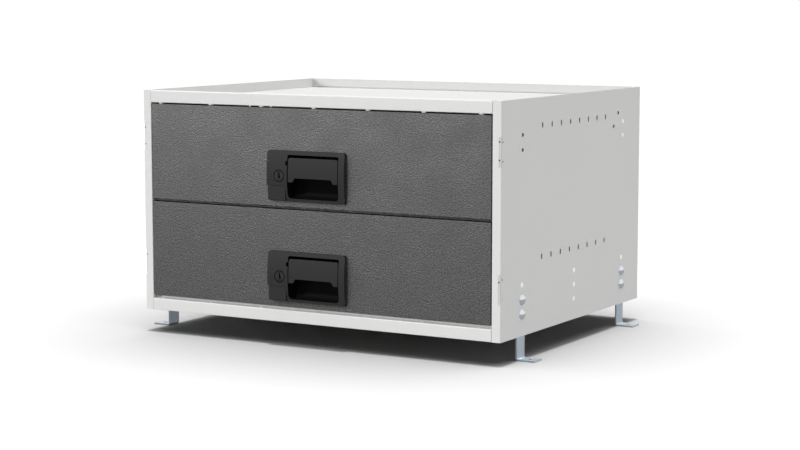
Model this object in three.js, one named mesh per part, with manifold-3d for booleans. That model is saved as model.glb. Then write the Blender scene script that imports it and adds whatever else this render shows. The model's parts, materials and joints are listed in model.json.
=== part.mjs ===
// A two-drawer steel unit for the floor of a van: a folded sheet casing on four bolted feet,
// an open tray on top, and two full-extension drawers with moulded fronts and paddle latches.
// Millimetres, +Z up. Built in the casing's own frame (x from its middle, y from its front
// face to the rear, z from its underside), then placed with the feet on z = 0.
import * as THREE from "three";
import { mergeVertices } from "three/addons/utils/BufferGeometryUtils.js";
import Module from "manifold-3d";

const wasm = await Module();
wasm.setup();

// Casing
const CASE_WIDTH = 753;
const CASE_DEPTH = 590;
const CASE_HEIGHT = 414.4;
const SHEET = 1.2;
const BEND = 1.2;
const SEAT_GAP = 0.3;
const OVERRUN = 4;

// Side panels: front flange with a return, and a rear flange
const FRONT_FLANGE = 17;
const FRONT_RETURN = 10;
const REAR_FLANGE = 13;

// Corner clips: shallow recesses pressed round the front edge of each side panel
const CLIP_WIDTH = 4.8;
const CLIP_DEPTH = 4.3;
const CLIP_HEIGHT = 52;
const CLIP_BEND = 0.9;
const CLIP_LOW_CENTRE = 91.4;
const CLIP_HIGH_DROP = 87.3;
const CLIP_HOLE_RADIUS = 1.25;
const CLIP_HOLE_SPACING = 33;
const CLIP_FRONT_HOLE_INSET = 2.9;
const CLIP_SIDE_HOLE_INSET = 7.3;

// Fixing holes and slots in the side panels
const HOLE_RADIUS = 3.7;
const HOLE_LOW = 38.4;
const HOLE_PITCH = 26;
const FOOT_INSET = 82.2;
const UPPER_HOLE_DROP = 62.5;
const SKEW_HOLE_INSET = 103.4;
const SKEW_HOLE_DROP = 45.2;
const SKEW_HOLE_STEP = 20;
const SKEW_HOLE_FALL = 24.4;
const SLOT_WIDTH = 5;
const SLOT_HEIGHT = 10.4;
const SLOT_PITCH = 38.35;
const SLOT_COUNT = 8;
const SLOT_SHIFT = -1.075;
const SLOT_LOW_HEIGHT = 131.9;
const SLOT_HIGH_DROP = 49.8;

// Top tray and base: one pressing used both ways up, the base with a lip behind the drawer fronts
const TRAY_RECESS = 18.5;
const TRAY_EDGE = 12;
const RAIL_CLEARANCE = 5;
const RAIL_LAP = 6;
const RAIL_LAP_GAP = 1.3;
const BASE_LIP = 4.5;
const BUTTON_RADIUS = 5.8;
const BUTTON_HEIGHT = 2.3;
const BUTTON_PITCH = 112.5;
const TOP_BUTTON_SHIFT = -0.7;
const BASE_BUTTON_SHIFT = 3.8;
const BUTTON_INSET = 1;

// Back panel
const BACK_JOGGLE = 2.6;
const BACK_JOGGLE_LIFT = 1.4;
const BACK_LIP_GAP = 1;

// Feet: flat bar bent outwards, with two nuts pressed in, and their cup-head bolts
const FOOT_DROP = 42.1;
const FOOT_BAR_WIDTH = 30;
const FOOT_BAR = 3;
const FOOT_BEND = 3.5;
const FOOT_REACH = 32.9;
const FOOT_HOLE_RADIUS = 4.5;
const FOOT_TOP_MARGIN = 15;
const NUT_RADIUS = 6;
const NUT_LENGTH = 5;
const BOLT_RADIUS = 3;
const BOLT_LENGTH = 12;
const BOLT_CLEARANCE = 0.3;
const CUP_RADIUS = 8.8;
const CUP_HEIGHT = 5.7;
const FOOT_BOLTS = 2;

// Drawers
const DRAWER_COUNT = 2;
const FRONT_THICKNESS = 18;
const FRONT_SETBACK = 0.4;
const FRONT_SIDE_GAP = 1.4;
const FRONT_GAP_LOW = 6;
const FRONT_GAP_BETWEEN = 5;
const FRONT_GAP_HIGH = 2.8;
const FRONT_EDGE = 1.2;
const FRONT_CORNER = 3;
const FRONT_SKIN = 3.5;
const FRONT_RIB = 2.5;
const FRONT_RIM = 4;
const FRONT_POCKET_COLUMNS = 8;
const FRONT_POCKET_ROWS = 2;
const BOX_LIFT = 3.7;
const BOX_DEPTH = 550;
const BOX_HEM = 8;
const BOX_RAIL_CLEARANCE = 8;
const BOX_CORNER = 2.4;

// Slides: ball-bearing sets of three nested members on a folded runner
const SLIDE_THICKNESS = 12.7;
const SLIDE_HEIGHT = 45.2;
const SLIDE_SHEET = 1.2;
const SLIDE_BEND = 0.9;
const SLIDE_RUNNING_GAP = 0.5;
const SLIDE_LIP = 4;
const SLIDE_INNER_LIP = 5;
const SLIDE_RISE = 32.5;
const SLIDE_LENGTH = 550;
const SLIDE_START = 22;
const SLIDE_PASS_GAP = 0.8;
const MIDDLE_SHORTER = 10;
const RUNNER_MARGIN = 6;
const RUNNER_FLANGE = 12;
const RUNNER_OVERHANG = 4;

// Middle cross rail and strike plates
const MID_RAIL_DROP = 3;
const MID_RAIL_HEIGHT = 24;
const MID_RAIL_DEPTH = 14;
const MID_RAIL_BEHIND_FRONT = 5.2;
const STRIKE_THICKNESS = 1.5;
const STRIKE_WIDTH = 40;
const STRIKE_BORDER = 3;
const STRIKE_SLOT_CLEARANCE = 1;

// Paddle latch: housing
const LATCH_SHIFT = -12.8;
const LATCH_RISE = 11.1;
const LATCH_WIDTH = 163.8;
const LATCH_HEIGHT = 91.3;
const LATCH_CORNER = 4.5;
const LATCH_EDGE_PROUD = 5;
const LATCH_CROWN_PROUD = 9.5;
const POCKET_WIDTH = 107.8;
const POCKET_HEIGHT = 79;
const POCKET_FOOT = 5;
const POCKET_SIDE = 12.3;
const POCKET_DEPTH = 22;
const POCKET_TOP_CORNER = 3;
const POCKET_FOOT_CORNER = 8;
const POCKET_SCOOP = 36;
const HOUSING_WALL = 2.5;
const CUTOUT_GAP = 1.2;
const COMB_TEETH = 5;
const COMB_PITCH = 11;
const COMB_TOOTH_WIDTH = 5;
const COMB_TOOTH_DROP = 2.4;
const COMB_TOOTH_DEPTH = 6;
const COMB_INSET = 3;
const PIN_NOTCH_WIDTH = 4;
const PIN_NOTCH_RISE = 0.6;
const PIN_NOTCH_FALL = 7.4;

// Paddle latch: paddle and its pin
const PADDLE_SIDE_GAP = 1.8;
const PADDLE_TOP_GAP = 5.4;
const PADDLE_HEIGHT = 43.8;
const PADDLE_CORNER = 4;
const PADDLE_GRIP_WIDTH = 76.4;
const PADDLE_GRIP_RISE = 7.7;
const PADDLE_GRIP_SLOPE = 5;
const PADDLE_WALL = 3.6;
const PADDLE_SINK = 0.4;
const PADDLE_PIVOT_DROP = 6.5;
const PADDLE_BARREL_RADIUS = 4.6;
const PADDLE_WEB = 3;
const PIN_RADIUS = 2;
const PIN_DEPTH = -0.5;
const PIN_CLEARANCE = 0.3;
const PIN_SEAT = 2;

// Paddle latch: lock, blank cover and latch bolt
const LOCK_INSET = 26.4;
const LOCK_RADIUS = 11;
const LOCK_BARREL_RADIUS = 7;
const LOCK_HEAD_LENGTH = 12;
const LOCK_BOSS_WALL = 3;
const LOCK_STUB_RADIUS = 3;
const KEY_SLOT_WIDTH = 2.4;
const KEY_SLOT_RISE = 7;
const KEY_SLOT_FALL = 4;
const KEY_HOLE_RADIUS = 2.2;
const KEY_HOLE_SHIFT = 0.8;
const KEY_HOLE_DROP = 1.9;
const KEY_DEPTH = 6;
const CAM_LENGTH = 36;
const CAM_WIDTH = 13;
const CAM_THICKNESS = 2.5;
const CAM_GAP = 0.5;
const COVER_WIDTH = 39.8;
const COVER_HEIGHT = 27.4;
const COVER_INSET = 2;
const COVER_GAP = 0.5;
const COVER_PROUD = 8.3;
const COVER_EDGE = 2;
const COVER_LOW_CORNER = 4;
const COVER_HIGH_CORNER = 6;
const COVER_SEAT = 1.2;
const TONGUE_WIDTH = 16;
const TONGUE_OFFSET = -21.5;
const TONGUE_THICKNESS = 4;
const TONGUE_TOP = 66;
const TONGUE_TRAVEL = 6;
const TONGUE_STRIKE_GAP = 0.5;
const GUIDE_WALL = 2;
const GUIDE_FOOT = 38;

// Fineness of round forms
const BEND_STEPS = 3;
const SLIDE_BEND_STEPS = 2;
const HOLE_SIDES = 10;
const SMALL_SIDES = 8;
const ROUND_SIDES = 20;
const ARC_STEPS = 12;
const CORNER_STEPS = 2;
const SLOT_STEPS = 1;
const SCOOP_STEPS = 4;
const CUP_STEPS = 4;

// Places worked out from the sizes above
const halfWidth = CASE_WIDTH / 2;
const panelInside = halfWidth - SHEET;
const trayTop = CASE_HEIGHT - TRAY_RECESS;
const railHeight = TRAY_RECESS + 2 * SHEET + RAIL_LAP_GAP;
const railDepth = FRONT_RETURN + RAIL_CLEARANCE;
const railEnd = halfWidth - FRONT_FLANGE - SEAT_GAP;
const innerWidth = panelInside - SEAT_GAP;
const backPanelFront = CASE_DEPTH - 2 * SHEET - SEAT_GAP;
const trayRear = backPanelFront - SEAT_GAP;
const footPlaces = [FOOT_INSET, CASE_DEPTH - FOOT_INSET];
const footTop = HOLE_LOW + (FOOT_BOLTS - 1) * HOLE_PITCH + FOOT_TOP_MARGIN;
const footOutside = panelInside - SEAT_GAP;
const nutFace = footOutside - FOOT_BAR - NUT_LENGTH;

const openingHeight = CASE_HEIGHT - 2 * railHeight;
const frontGaps = FRONT_GAP_LOW + FRONT_GAP_HIGH + (DRAWER_COUNT - 1) * FRONT_GAP_BETWEEN;
const frontHeight = (openingHeight - frontGaps) / DRAWER_COUNT;
const frontHalfWidth = halfWidth - FRONT_FLANGE - FRONT_SIDE_GAP;
const drawerPitch = frontHeight + FRONT_GAP_BETWEEN;
const lowestFront = railHeight + FRONT_GAP_LOW;
const frontBack = FRONT_SETBACK + FRONT_THICKNESS;

const runnerFace = halfWidth - FRONT_FLANGE - SLIDE_PASS_GAP;
const slideFace = runnerFace - SEAT_GAP;
const boxHalfWidth = slideFace - SLIDE_THICKNESS - SEAT_GAP;
const boxFront = frontBack + SEAT_GAP;
const slideRise = BOX_LIFT + SLIDE_RISE;

const latchCentre = LATCH_HEIGHT / 2;
const crownDrop = LATCH_CROWN_PROUD - LATCH_EDGE_PROUD;
const crownRadius = (latchCentre ** 2 + crownDrop ** 2) / (2 * crownDrop);
const crownCentre = crownRadius - LATCH_CROWN_PROUD;
const pocketRight = LATCH_WIDTH / 2 - POCKET_SIDE;
const pocketLeft = pocketRight - POCKET_WIDTH;
const pocketMiddle = (pocketLeft + pocketRight) / 2;
const pocketTop = POCKET_FOOT + POCKET_HEIGHT;
const paddleTop = pocketTop - PADDLE_TOP_GAP;
const paddleFoot = paddleTop - PADDLE_HEIGHT;
const pivotHeight = paddleTop - PADDLE_PIVOT_DROP;
const bowlBack = POCKET_DEPTH + HOUSING_WALL;
const lockPlace = LOCK_INSET - LATCH_WIDTH / 2;
const bossRadius = LOCK_RADIUS + LOCK_BOSS_WALL;
const camFront = bowlBack + CAM_GAP;
const coverRight = COVER_WIDTH - LATCH_WIDTH / 2;
const tongueFront = bowlBack + GUIDE_WALL;
const tongueBack = tongueFront + TONGUE_THICKNESS;
const tongueMiddle = pocketMiddle + TONGUE_OFFSET;
const tongueX = LATCH_SHIFT + tongueMiddle;
const tongueY = FRONT_SETBACK + (tongueFront + tongueBack) / 2;

const baseTop = TRAY_RECESS + SHEET;
const lipTop = railHeight + BASE_LIP;
const midRailTop = lowestFront + drawerPitch - MID_RAIL_DROP;
const midRailFoot = midRailTop - MID_RAIL_HEIGHT;
const strikePlaces = [baseTop + SEAT_GAP, midRailTop + SEAT_GAP];
const midStrikeTop = strikePlaces[1] + STRIKE_THICKNESS - drawerPitch;
const tongueTip = Math.max(lipTop, midStrikeTop) + TONGUE_STRIKE_GAP - lowestFront;
const boxHeight = midRailFoot - BOX_RAIL_CLEARANCE - lowestFront - BOX_LIFT;

// Materials
const paint = () => new THREE.MeshStandardMaterial({ color: 0xe6e6e6, roughness: 0.45, metalness: 0.0 });
const zinc = () => new THREE.MeshStandardMaterial({ color: 0x97a0a8, roughness: 0.35, metalness: 0.9 });
const frontPlastic = () => new THREE.MeshStandardMaterial({ color: 0x5d5d5d, roughness: 0.7, metalness: 0.0 });
const blackPlastic = () => new THREE.MeshStandardMaterial({ color: 0x2c2c2c, roughness: 0.55, metalness: 0.0 });
const steel = () => new THREE.MeshStandardMaterial({ color: 0xb4b8bc, roughness: 0.3, metalness: 1.0 });

// Meshes to solids and back
function toSolid(geometry) {
  const bare = geometry.clone();
  bare.deleteAttribute("normal");
  bare.deleteAttribute("uv");
  const merged = mergeVertices(bare);
  return new wasm.Manifold(
    new wasm.Mesh({
      numProp: 3,
      vertProperties: new Float32Array(merged.attributes.position.array),
      triVerts: new Uint32Array(merged.index.array),
    })
  );
}

function toMesh(name, solid, material) {
  const { vertProperties, triVerts } = solid.getMesh();
  const indexed = new THREE.BufferGeometry();
  indexed.setAttribute("position", new THREE.BufferAttribute(vertProperties, 3));
  indexed.setIndex(new THREE.BufferAttribute(triVerts, 1));
  const geometry = indexed.toNonIndexed();
  geometry.computeVertexNormals();
  const mesh = new THREE.Mesh(geometry, material);
  mesh.name = name;
  return mesh;
}

const joined = (solids) => solids.reduce((whole, solid) => whole.add(solid));
const cut = (solid, tools) => tools.reduce((rest, tool) => rest.subtract(tool), solid);

// A block between two corners, in any order along each axis
function block([x0, x1], [y0, y1], [z0, z1]) {
  const geometry = new THREE.BoxGeometry(Math.abs(x1 - x0), Math.abs(y1 - y0), Math.abs(z1 - z0));
  geometry.translate((x0 + x1) / 2, (y0 + y1) / 2, (z0 + z1) / 2);
  return toSolid(geometry);
}

// An outline drawn in a plane and extruded square to it: (x, y) along z, (y, z) along x, or
// (x, z) along y
const planes = {
  z: new THREE.Matrix4(),
  x: new THREE.Matrix4().set(0, 0, 1, 0, 1, 0, 0, 0, 0, 1, 0, 0, 0, 0, 0, 1),
  y: new THREE.Matrix4().set(1, 0, 0, 0, 0, 0, -1, 0, 0, 1, 0, 0, 0, 0, 0, 1),
};

function extrude(shape, axis, from, to, { bevel = 0, steps = CORNER_STEPS } = {}) {
  const low = Math.min(from, to);
  const high = Math.max(from, to);
  const geometry = new THREE.ExtrudeGeometry(shape, {
    depth: high - low - 2 * bevel,
    curveSegments: steps,
    bevelEnabled: bevel > 0,
    bevelSize: bevel,
    bevelOffset: -bevel,
    bevelThickness: bevel,
    bevelSegments: 2,
  });
  geometry.translate(0, 0, axis === "y" ? bevel - high : bevel + low);
  geometry.applyMatrix4(planes[axis]);
  return toSolid(geometry);
}

// A round bar along an axis, at the two other coordinates in x, y, z order
function bar(axis, radius, [first, second], from, to, sides = HOLE_SIDES) {
  const circle = new THREE.Shape(
    Array.from({ length: sides }, (_, step) => {
      const angle = (2 * Math.PI * step) / sides;
      return new THREE.Vector2(first + radius * Math.cos(angle), second + radius * Math.sin(angle));
    })
  );
  return extrude(circle, axis, from, to);
}

// A rectangle with a radius at each corner: low left, low right, high right, high left
function roundedRectangle([x0, x1], [y0, y1], radii) {
  const [lowLeft, lowRight, highRight, highLeft] = Array.isArray(radii) ? radii : Array(4).fill(radii);
  const shape = new THREE.Shape();
  shape.moveTo(x0 + lowLeft, y0);
  shape.lineTo(x1 - lowRight, y0);
  shape.absarc(x1 - lowRight, y0 + lowRight, lowRight, -Math.PI / 2, 0, false);
  shape.lineTo(x1, y1 - highRight);
  shape.absarc(x1 - highRight, y1 - highRight, highRight, 0, Math.PI / 2, false);
  shape.lineTo(x0 + highLeft, y1);
  shape.absarc(x0 + highLeft, y1 - highLeft, highLeft, Math.PI / 2, Math.PI, false);
  shape.lineTo(x0, y0 + lowLeft);
  shape.absarc(x0 + lowLeft, y0 + lowLeft, lowLeft, Math.PI, (3 * Math.PI) / 2, false);
  return shape;
}

// The section of a folded sheet: its middle line's corners, with every fold rounded
function foldedSheet(corners, thickness, bend, steps = BEND_STEPS) {
  const points = corners.map(([x, y]) => new THREE.Vector2(x, y));
  const left = [];
  const right = [];
  const addPair = (point, normal) => {
    left.push(point.clone().addScaledVector(normal, thickness / 2));
    right.push(point.clone().addScaledVector(normal, -thickness / 2));
  };
  const heading = (from, to) => to.clone().sub(from).normalize();
  const leftOf = (direction) => new THREE.Vector2(-direction.y, direction.x);
  points.forEach((corner, index) => {
    const before = index > 0 ? heading(points[index - 1], corner) : null;
    const after = index < points.length - 1 ? heading(corner, points[index + 1]) : null;
    if (!before || !after) {
      addPair(corner, leftOf(before ?? after));
      return;
    }
    const turn = Math.atan2(before.cross(after), before.dot(after));
    const start = corner.clone().addScaledVector(before, -bend * Math.tan(Math.abs(turn) / 2));
    const centre = start.clone().addScaledVector(leftOf(before), bend * Math.sign(turn));
    for (let step = 0; step <= steps; step += 1) {
      const normal = leftOf(before).rotateAround(new THREE.Vector2(), (turn * step) / steps);
      addPair(centre.clone().addScaledVector(normal, -bend * Math.sign(turn)), normal);
    }
  });
  return new THREE.Shape([...left, ...right.reverse()]);
}

// Side panel: one folded sheet with its corner clips, fixing holes and slots. side is 1 or -1.
function cornerClip(side, centre, frontHoles) {
  const low = centre - CLIP_HEIGHT / 2;
  const high = centre + CLIP_HEIGHT / 2;
  const wallX = side * (halfWidth - CLIP_WIDTH);
  const outside = side * (halfWidth + OVERRUN);
  const recess = block([wallX, outside], [-OVERRUN, CLIP_DEPTH], [low, high]);
  const sunkX = side * (panelInside - SHEET / 2);
  const sunkY = SHEET + SHEET / 2;
  const section = [[wallX - side * SHEET, sunkY], [sunkX, sunkY], [sunkX, CLIP_DEPTH + SHEET]];
  const pressing = extrude(foldedSheet(section, SHEET, CLIP_BEND), "z", low - SHEET, high + SHEET);
  const holeHeight = (end) => centre + (end * CLIP_HOLE_SPACING) / 2;
  const frontX = side * (halfWidth - CLIP_FRONT_HOLE_INSET);
  const front = frontHoles.map((end) => {
    return bar("y", CLIP_HOLE_RADIUS, [frontX, holeHeight(end)], -OVERRUN, 2 * SHEET + SEAT_GAP, SMALL_SIDES);
  });
  const rear = [-1, 1].map((end) => {
    const place = [CLIP_SIDE_HOLE_INSET, holeHeight(end)];
    return bar("x", CLIP_HOLE_RADIUS, place, side * (panelInside - SHEET), outside, SMALL_SIDES);
  });
  return { recess, pressing, holes: [...front, ...rear] };
}

function sideHolePlaces() {
  const columns = [...footPlaces, CASE_DEPTH / 2];
  const lower = columns.flatMap((y) => [0, 1, 2].map((step) => [y, HOLE_LOW + step * HOLE_PITCH]));
  const upperHole = CASE_HEIGHT - UPPER_HOLE_DROP;
  const upper = footPlaces.flatMap((y) => [0, 1].map((step) => [y, upperHole - step * HOLE_PITCH]));
  const skewRear = CASE_DEPTH - SKEW_HOLE_INSET;
  const skewTop = CASE_HEIGHT - SKEW_HOLE_DROP;
  const skew = [[skewRear, skewTop], [skewRear - SKEW_HOLE_STEP, skewTop - SKEW_HOLE_FALL]];
  return [...lower, ...upper, ...skew];
}

function sidePanel(side) {
  const returnX = side * (halfWidth - FRONT_FLANGE + SHEET / 2);
  const skinX = side * (halfWidth - SHEET / 2);
  const section = [
    [returnX, FRONT_RETURN],
    [returnX, SHEET / 2],
    [skinX, SHEET / 2],
    [skinX, CASE_DEPTH - SHEET / 2],
    [side * (halfWidth - REAR_FLANGE), CASE_DEPTH - SHEET / 2],
  ];
  const panel = extrude(foldedSheet(section, SHEET, BEND), "z", 0, CASE_HEIGHT);
  const clips = [cornerClip(side, CLIP_LOW_CENTRE, [1]), cornerClip(side, CASE_HEIGHT - CLIP_HIGH_DROP, [-1, 1])];
  const inside = side * (panelInside - SHEET);
  const outside = side * (halfWidth + OVERRUN);
  const holes = sideHolePlaces().map((place) => bar("x", HOLE_RADIUS, place, inside, outside));
  const slotMiddle = CASE_DEPTH / 2 + SLOT_SHIFT;
  const slots = [SLOT_LOW_HEIGHT, CASE_HEIGHT - SLOT_HIGH_DROP].flatMap((z) =>
    Array.from({ length: SLOT_COUNT }, (_, step) => {
      const y = slotMiddle + (step - (SLOT_COUNT - 1) / 2) * SLOT_PITCH;
      const across = [y - SLOT_WIDTH / 2, y + SLOT_WIDTH / 2];
      const outline = roundedRectangle(across, [z - SLOT_HEIGHT / 2, z + SLOT_HEIGHT / 2], SLOT_WIDTH / 2);
      return extrude(outline, "x", inside, outside, { steps: SLOT_STEPS });
    })
  );
  const rebated = cut(panel, clips.map((clip) => clip.recess));
  const body = joined([rebated, ...clips.map((clip) => clip.pressing)]);
  return cut(body, [...clips.flatMap((clip) => clip.holes), ...holes, ...slots]);
}

// Top tray or base: a floor with edges turned down, and a hollow front rail with pressed buttons
function railButton(x) {
  const points = [new THREE.Vector2(0, -BUTTON_HEIGHT)];
  const arcRadius = (BUTTON_RADIUS ** 2 + BUTTON_HEIGHT ** 2) / (2 * BUTTON_HEIGHT);
  const reach = Math.asin(BUTTON_RADIUS / arcRadius);
  for (let step = 1; step <= 2; step += 1) {
    const angle = (reach * step) / 2;
    const drop = arcRadius - BUTTON_HEIGHT - arcRadius * Math.cos(angle);
    points.push(new THREE.Vector2(arcRadius * Math.sin(angle), drop));
  }
  points.push(new THREE.Vector2(BUTTON_RADIUS, SHEET), new THREE.Vector2(0, SHEET));
  const geometry = new THREE.LatheGeometry(points, HOLE_SIDES);
  geometry.rotateX(Math.PI / 2);
  geometry.translate(x, BUTTON_RADIUS + BUTTON_INSET, CASE_HEIGHT - railHeight);
  return toSolid(geometry);
}

function trayPanel({ isBase }) {
  const floorLine = trayTop - SHEET / 2;
  const railFoot = CASE_HEIGHT - railHeight + SHEET / 2;
  const lapEnd = railDepth + RAIL_LAP - SHEET / 2;
  const railSection = [
    [railDepth + RAIL_LAP, floorLine],
    [railDepth - SHEET / 2, floorLine],
    [railDepth - SHEET / 2, CASE_HEIGHT - SHEET / 2],
    [SHEET / 2, CASE_HEIGHT - SHEET / 2],
    [SHEET / 2, railFoot],
    [lapEnd, railFoot],
  ];
  if (isBase) railSection.push([lapEnd, CASE_HEIGHT - lipTop]);
  const rail = extrude(foldedSheet(railSection, SHEET, BEND), "x", -railEnd, railEnd);
  const edge = innerWidth - SHEET / 2;
  const floorSection = [
    [-edge, trayTop - TRAY_EDGE],
    [-edge, floorLine],
    [edge, floorLine],
    [edge, trayTop - TRAY_EDGE],
  ];
  const floor = extrude(foldedSheet(floorSection, SHEET, BEND), "y", railDepth + BEND, trayRear);
  const buttons = [];
  const shift = isBase ? BASE_BUTTON_SHIFT : TOP_BUTTON_SHIFT;
  const eachSide = Math.floor((railEnd - BUTTON_RADIUS - Math.abs(shift)) / BUTTON_PITCH);
  for (let step = -eachSide; step <= eachSide; step += 1) {
    buttons.push(railButton(shift + step * BUTTON_PITCH));
  }
  const clear = FOOT_BAR_WIDTH / 2 + SEAT_GAP;
  const slots = footPlaces.flatMap((y) =>
    [-1, 1].map((side) => {
      const slotX = [side * (footOutside - FOOT_BAR - SEAT_GAP), side * (innerWidth + OVERRUN)];
      return block(slotX, [y - clear, y + clear], [trayTop - TRAY_EDGE - OVERRUN, trayTop + OVERRUN]);
    })
  );
  return cut(joined([rail, floor, ...buttons]), isBase ? slots : []);
}

// Back panel: a flat sheet inside the rear flanges, stepped forward over the tray's rear edge
function backPanel() {
  const sheetY = backPanelFront + SHEET / 2;
  const stepFoot = trayTop + BACK_JOGGLE_LIFT;
  const section = [
    [sheetY, SHEET],
    [sheetY, stepFoot],
    [sheetY - BACK_JOGGLE, stepFoot + BACK_JOGGLE],
    [sheetY - BACK_JOGGLE, CASE_HEIGHT],
  ];
  const sheetEnd = innerWidth - BEND;
  const sheet = extrude(foldedSheet(section, SHEET, BEND), "x", -sheetEnd, sheetEnd);
  const lipEnd = halfWidth - REAR_FLANGE - BACK_LIP_GAP;
  const depth = [sheetY - BACK_JOGGLE - OVERRUN, CASE_DEPTH];
  const corners = [-1, 1].map((side) =>
    block([side * lipEnd, side * halfWidth], depth, [trayTop - SHEET, CASE_HEIGHT + OVERRUN])
  );
  return cut(sheet, corners);
}

// Foot: flat bar down inside the side panel, bent outwards, with two nuts pressed through it
function foot(side, place) {
  const legX = footOutside - FOOT_BAR / 2;
  const section = [
    [side * legX, footTop],
    [side * legX, FOOT_BAR / 2 - FOOT_DROP],
    [side * (halfWidth + FOOT_REACH), FOOT_BAR / 2 - FOOT_DROP],
  ];
  const width = [place - FOOT_BAR_WIDTH / 2, place + FOOT_BAR_WIDTH / 2];
  const flatBar = extrude(foldedSheet(section, FOOT_BAR, FOOT_BEND), "y", ...width);
  const boltPlaces = Array.from({ length: FOOT_BOLTS }, (_, step) => [place, HOLE_LOW + step * HOLE_PITCH]);
  const nuts = boltPlaces.map((at) => bar("x", NUT_RADIUS, at, side * nutFace, side * (legX)));
  const bores = boltPlaces.map((at) => {
    const radius = BOLT_RADIUS + BOLT_CLEARANCE;
    return bar("x", radius, at, side * (nutFace - OVERRUN), side * (footOutside + OVERRUN));
  });
  const holeX = side * (halfWidth + FOOT_REACH / 2);
  const floorHole = bar("z", FOOT_HOLE_RADIUS, [holeX, place], -FOOT_DROP - OVERRUN, FOOT_BAR + OVERRUN - FOOT_DROP);
  return cut(joined([flatBar, ...nuts]), [...bores, floorHole]);
}

// Cup-head bolt, its head on the outside of the side panel
function footBolt(side, place, height) {
  const capRadius = (CUP_RADIUS ** 2 + CUP_HEIGHT ** 2) / (2 * CUP_HEIGHT);
  const reach = Math.asin(CUP_RADIUS / capRadius);
  const profile = [new THREE.Vector2(0, -BOLT_LENGTH), new THREE.Vector2(BOLT_RADIUS, -BOLT_LENGTH)];
  profile.push(new THREE.Vector2(BOLT_RADIUS, SEAT_GAP), new THREE.Vector2(CUP_RADIUS, SEAT_GAP));
  for (let step = CUP_STEPS - 1; step >= 0; step -= 1) {
    const angle = (reach * step) / CUP_STEPS;
    const height = SEAT_GAP + CUP_HEIGHT - capRadius + capRadius * Math.cos(angle);
    profile.push(new THREE.Vector2(capRadius * Math.sin(angle), height));
  }
  const geometry = new THREE.LatheGeometry(profile, HOLE_SIDES);
  geometry.rotateZ(-Math.PI / 2);
  if (side < 0) geometry.rotateZ(Math.PI);
  geometry.translate(side * halfWidth, place, height);
  return toSolid(geometry);
}

// Runner: a folded channel on the side panel that carries a slide clear of the front flange
function runner(side) {
  const faceX = side * (runnerFace + SHEET / 2);
  const wallX = side * (innerWidth - SHEET / 2);
  const half = SLIDE_HEIGHT / 2 + RUNNER_MARGIN;
  const section = [
    [wallX, half + RUNNER_FLANGE],
    [wallX, half],
    [faceX, half],
    [faceX, -half],
    [side * innerWidth, -half],
  ];
  const rear = SLIDE_START + SLIDE_LENGTH + RUNNER_OVERHANG;
  const channel = extrude(foldedSheet(section, SHEET, BEND), "y", SLIDE_START, rear);
  const clear = FOOT_BAR_WIDTH / 2 + FOOT_BAR;
  const notches = footPlaces.map((y) => {
    const notchX = [side * (nutFace - BOLT_RADIUS), side * (innerWidth + OVERRUN)];
    return block(notchX, [y - clear, y + clear], [-half - OVERRUN, -half + OVERRUN]);
  });
  return cut(channel, notches);
}

// Slide members, nested: each section is drawn from the runner's face inwards
const memberX = (side, inset) => side * (slideFace - inset);

function slideMember(side, section, from, to) {
  const mirrored = [...section].reverse().map(([inset, height]) => [inset, -height]);
  const corners = [...section, ...mirrored].map(([inset, height]) => [memberX(side, inset), height]);
  return extrude(foldedSheet(corners, SLIDE_SHEET, SLIDE_BEND, SLIDE_BEND_STEPS), "y", from, to);
}

const outerHalf = SLIDE_HEIGHT / 2 - SLIDE_SHEET / 2;
const middleHalf = outerHalf - SLIDE_SHEET - SLIDE_RUNNING_GAP;
const innerHalf = middleHalf - SLIDE_SHEET - SLIDE_RUNNING_GAP;
const outerLipInset = SLIDE_THICKNESS - SLIDE_SHEET - SLIDE_SHEET / 2 - SLIDE_RUNNING_GAP;
const middleLipInset = outerLipInset - SLIDE_SHEET - SLIDE_RUNNING_GAP;
const middleWebInset = SLIDE_SHEET + SLIDE_RUNNING_GAP + SLIDE_SHEET / 2;
const innerFlangeInset = middleWebInset + SLIDE_SHEET + SLIDE_RUNNING_GAP;
const innerWebHalf = middleHalf - SLIDE_INNER_LIP - SLIDE_SHEET / 2 - SLIDE_RUNNING_GAP;

const outerSection = [
  [outerLipInset, outerHalf - SLIDE_LIP],
  [outerLipInset, outerHalf],
  [SLIDE_SHEET / 2, outerHalf],
];
const middleSection = [
  [middleLipInset, middleHalf - SLIDE_INNER_LIP],
  [middleLipInset, middleHalf],
  [middleWebInset, middleHalf],
];
const innerSection = [
  [innerFlangeInset, innerHalf + SLIDE_SHEET / 2],
  [innerFlangeInset, innerWebHalf],
  [SLIDE_THICKNESS - SLIDE_SHEET / 2, innerWebHalf],
];

// Middle cross rail between the drawers, and the strike plates that the latch tongues meet
function middleRail() {
  const front = frontBack + MID_RAIL_BEHIND_FRONT + SHEET / 2;
  const back = front - SHEET / 2 + MID_RAIL_DEPTH;
  const section = [
    [back, midRailFoot + SHEET / 2],
    [front, midRailFoot + SHEET / 2],
    [front, midRailTop - SHEET / 2],
    [back, midRailTop - SHEET / 2],
  ];
  return extrude(foldedSheet(section, SHEET, BEND), "x", -innerWidth, innerWidth);
}

function strikePlate() {
  const slotX = TONGUE_WIDTH / 2 + STRIKE_SLOT_CLEARANCE;
  const slotY = TONGUE_THICKNESS / 2 + STRIKE_SLOT_CLEARANCE;
  const halfDepth = slotY + STRIKE_BORDER;
  const plan = roundedRectangle([-STRIKE_WIDTH / 2, STRIKE_WIDTH / 2], [-halfDepth, halfDepth], STRIKE_THICKNESS);
  const slot = block([-slotX, slotX], [-slotY, slotY], [-OVERRUN, STRIKE_THICKNESS + OVERRUN]);
  return extrude(plan, "z", 0, STRIKE_THICKNESS).subtract(slot);
}

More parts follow.
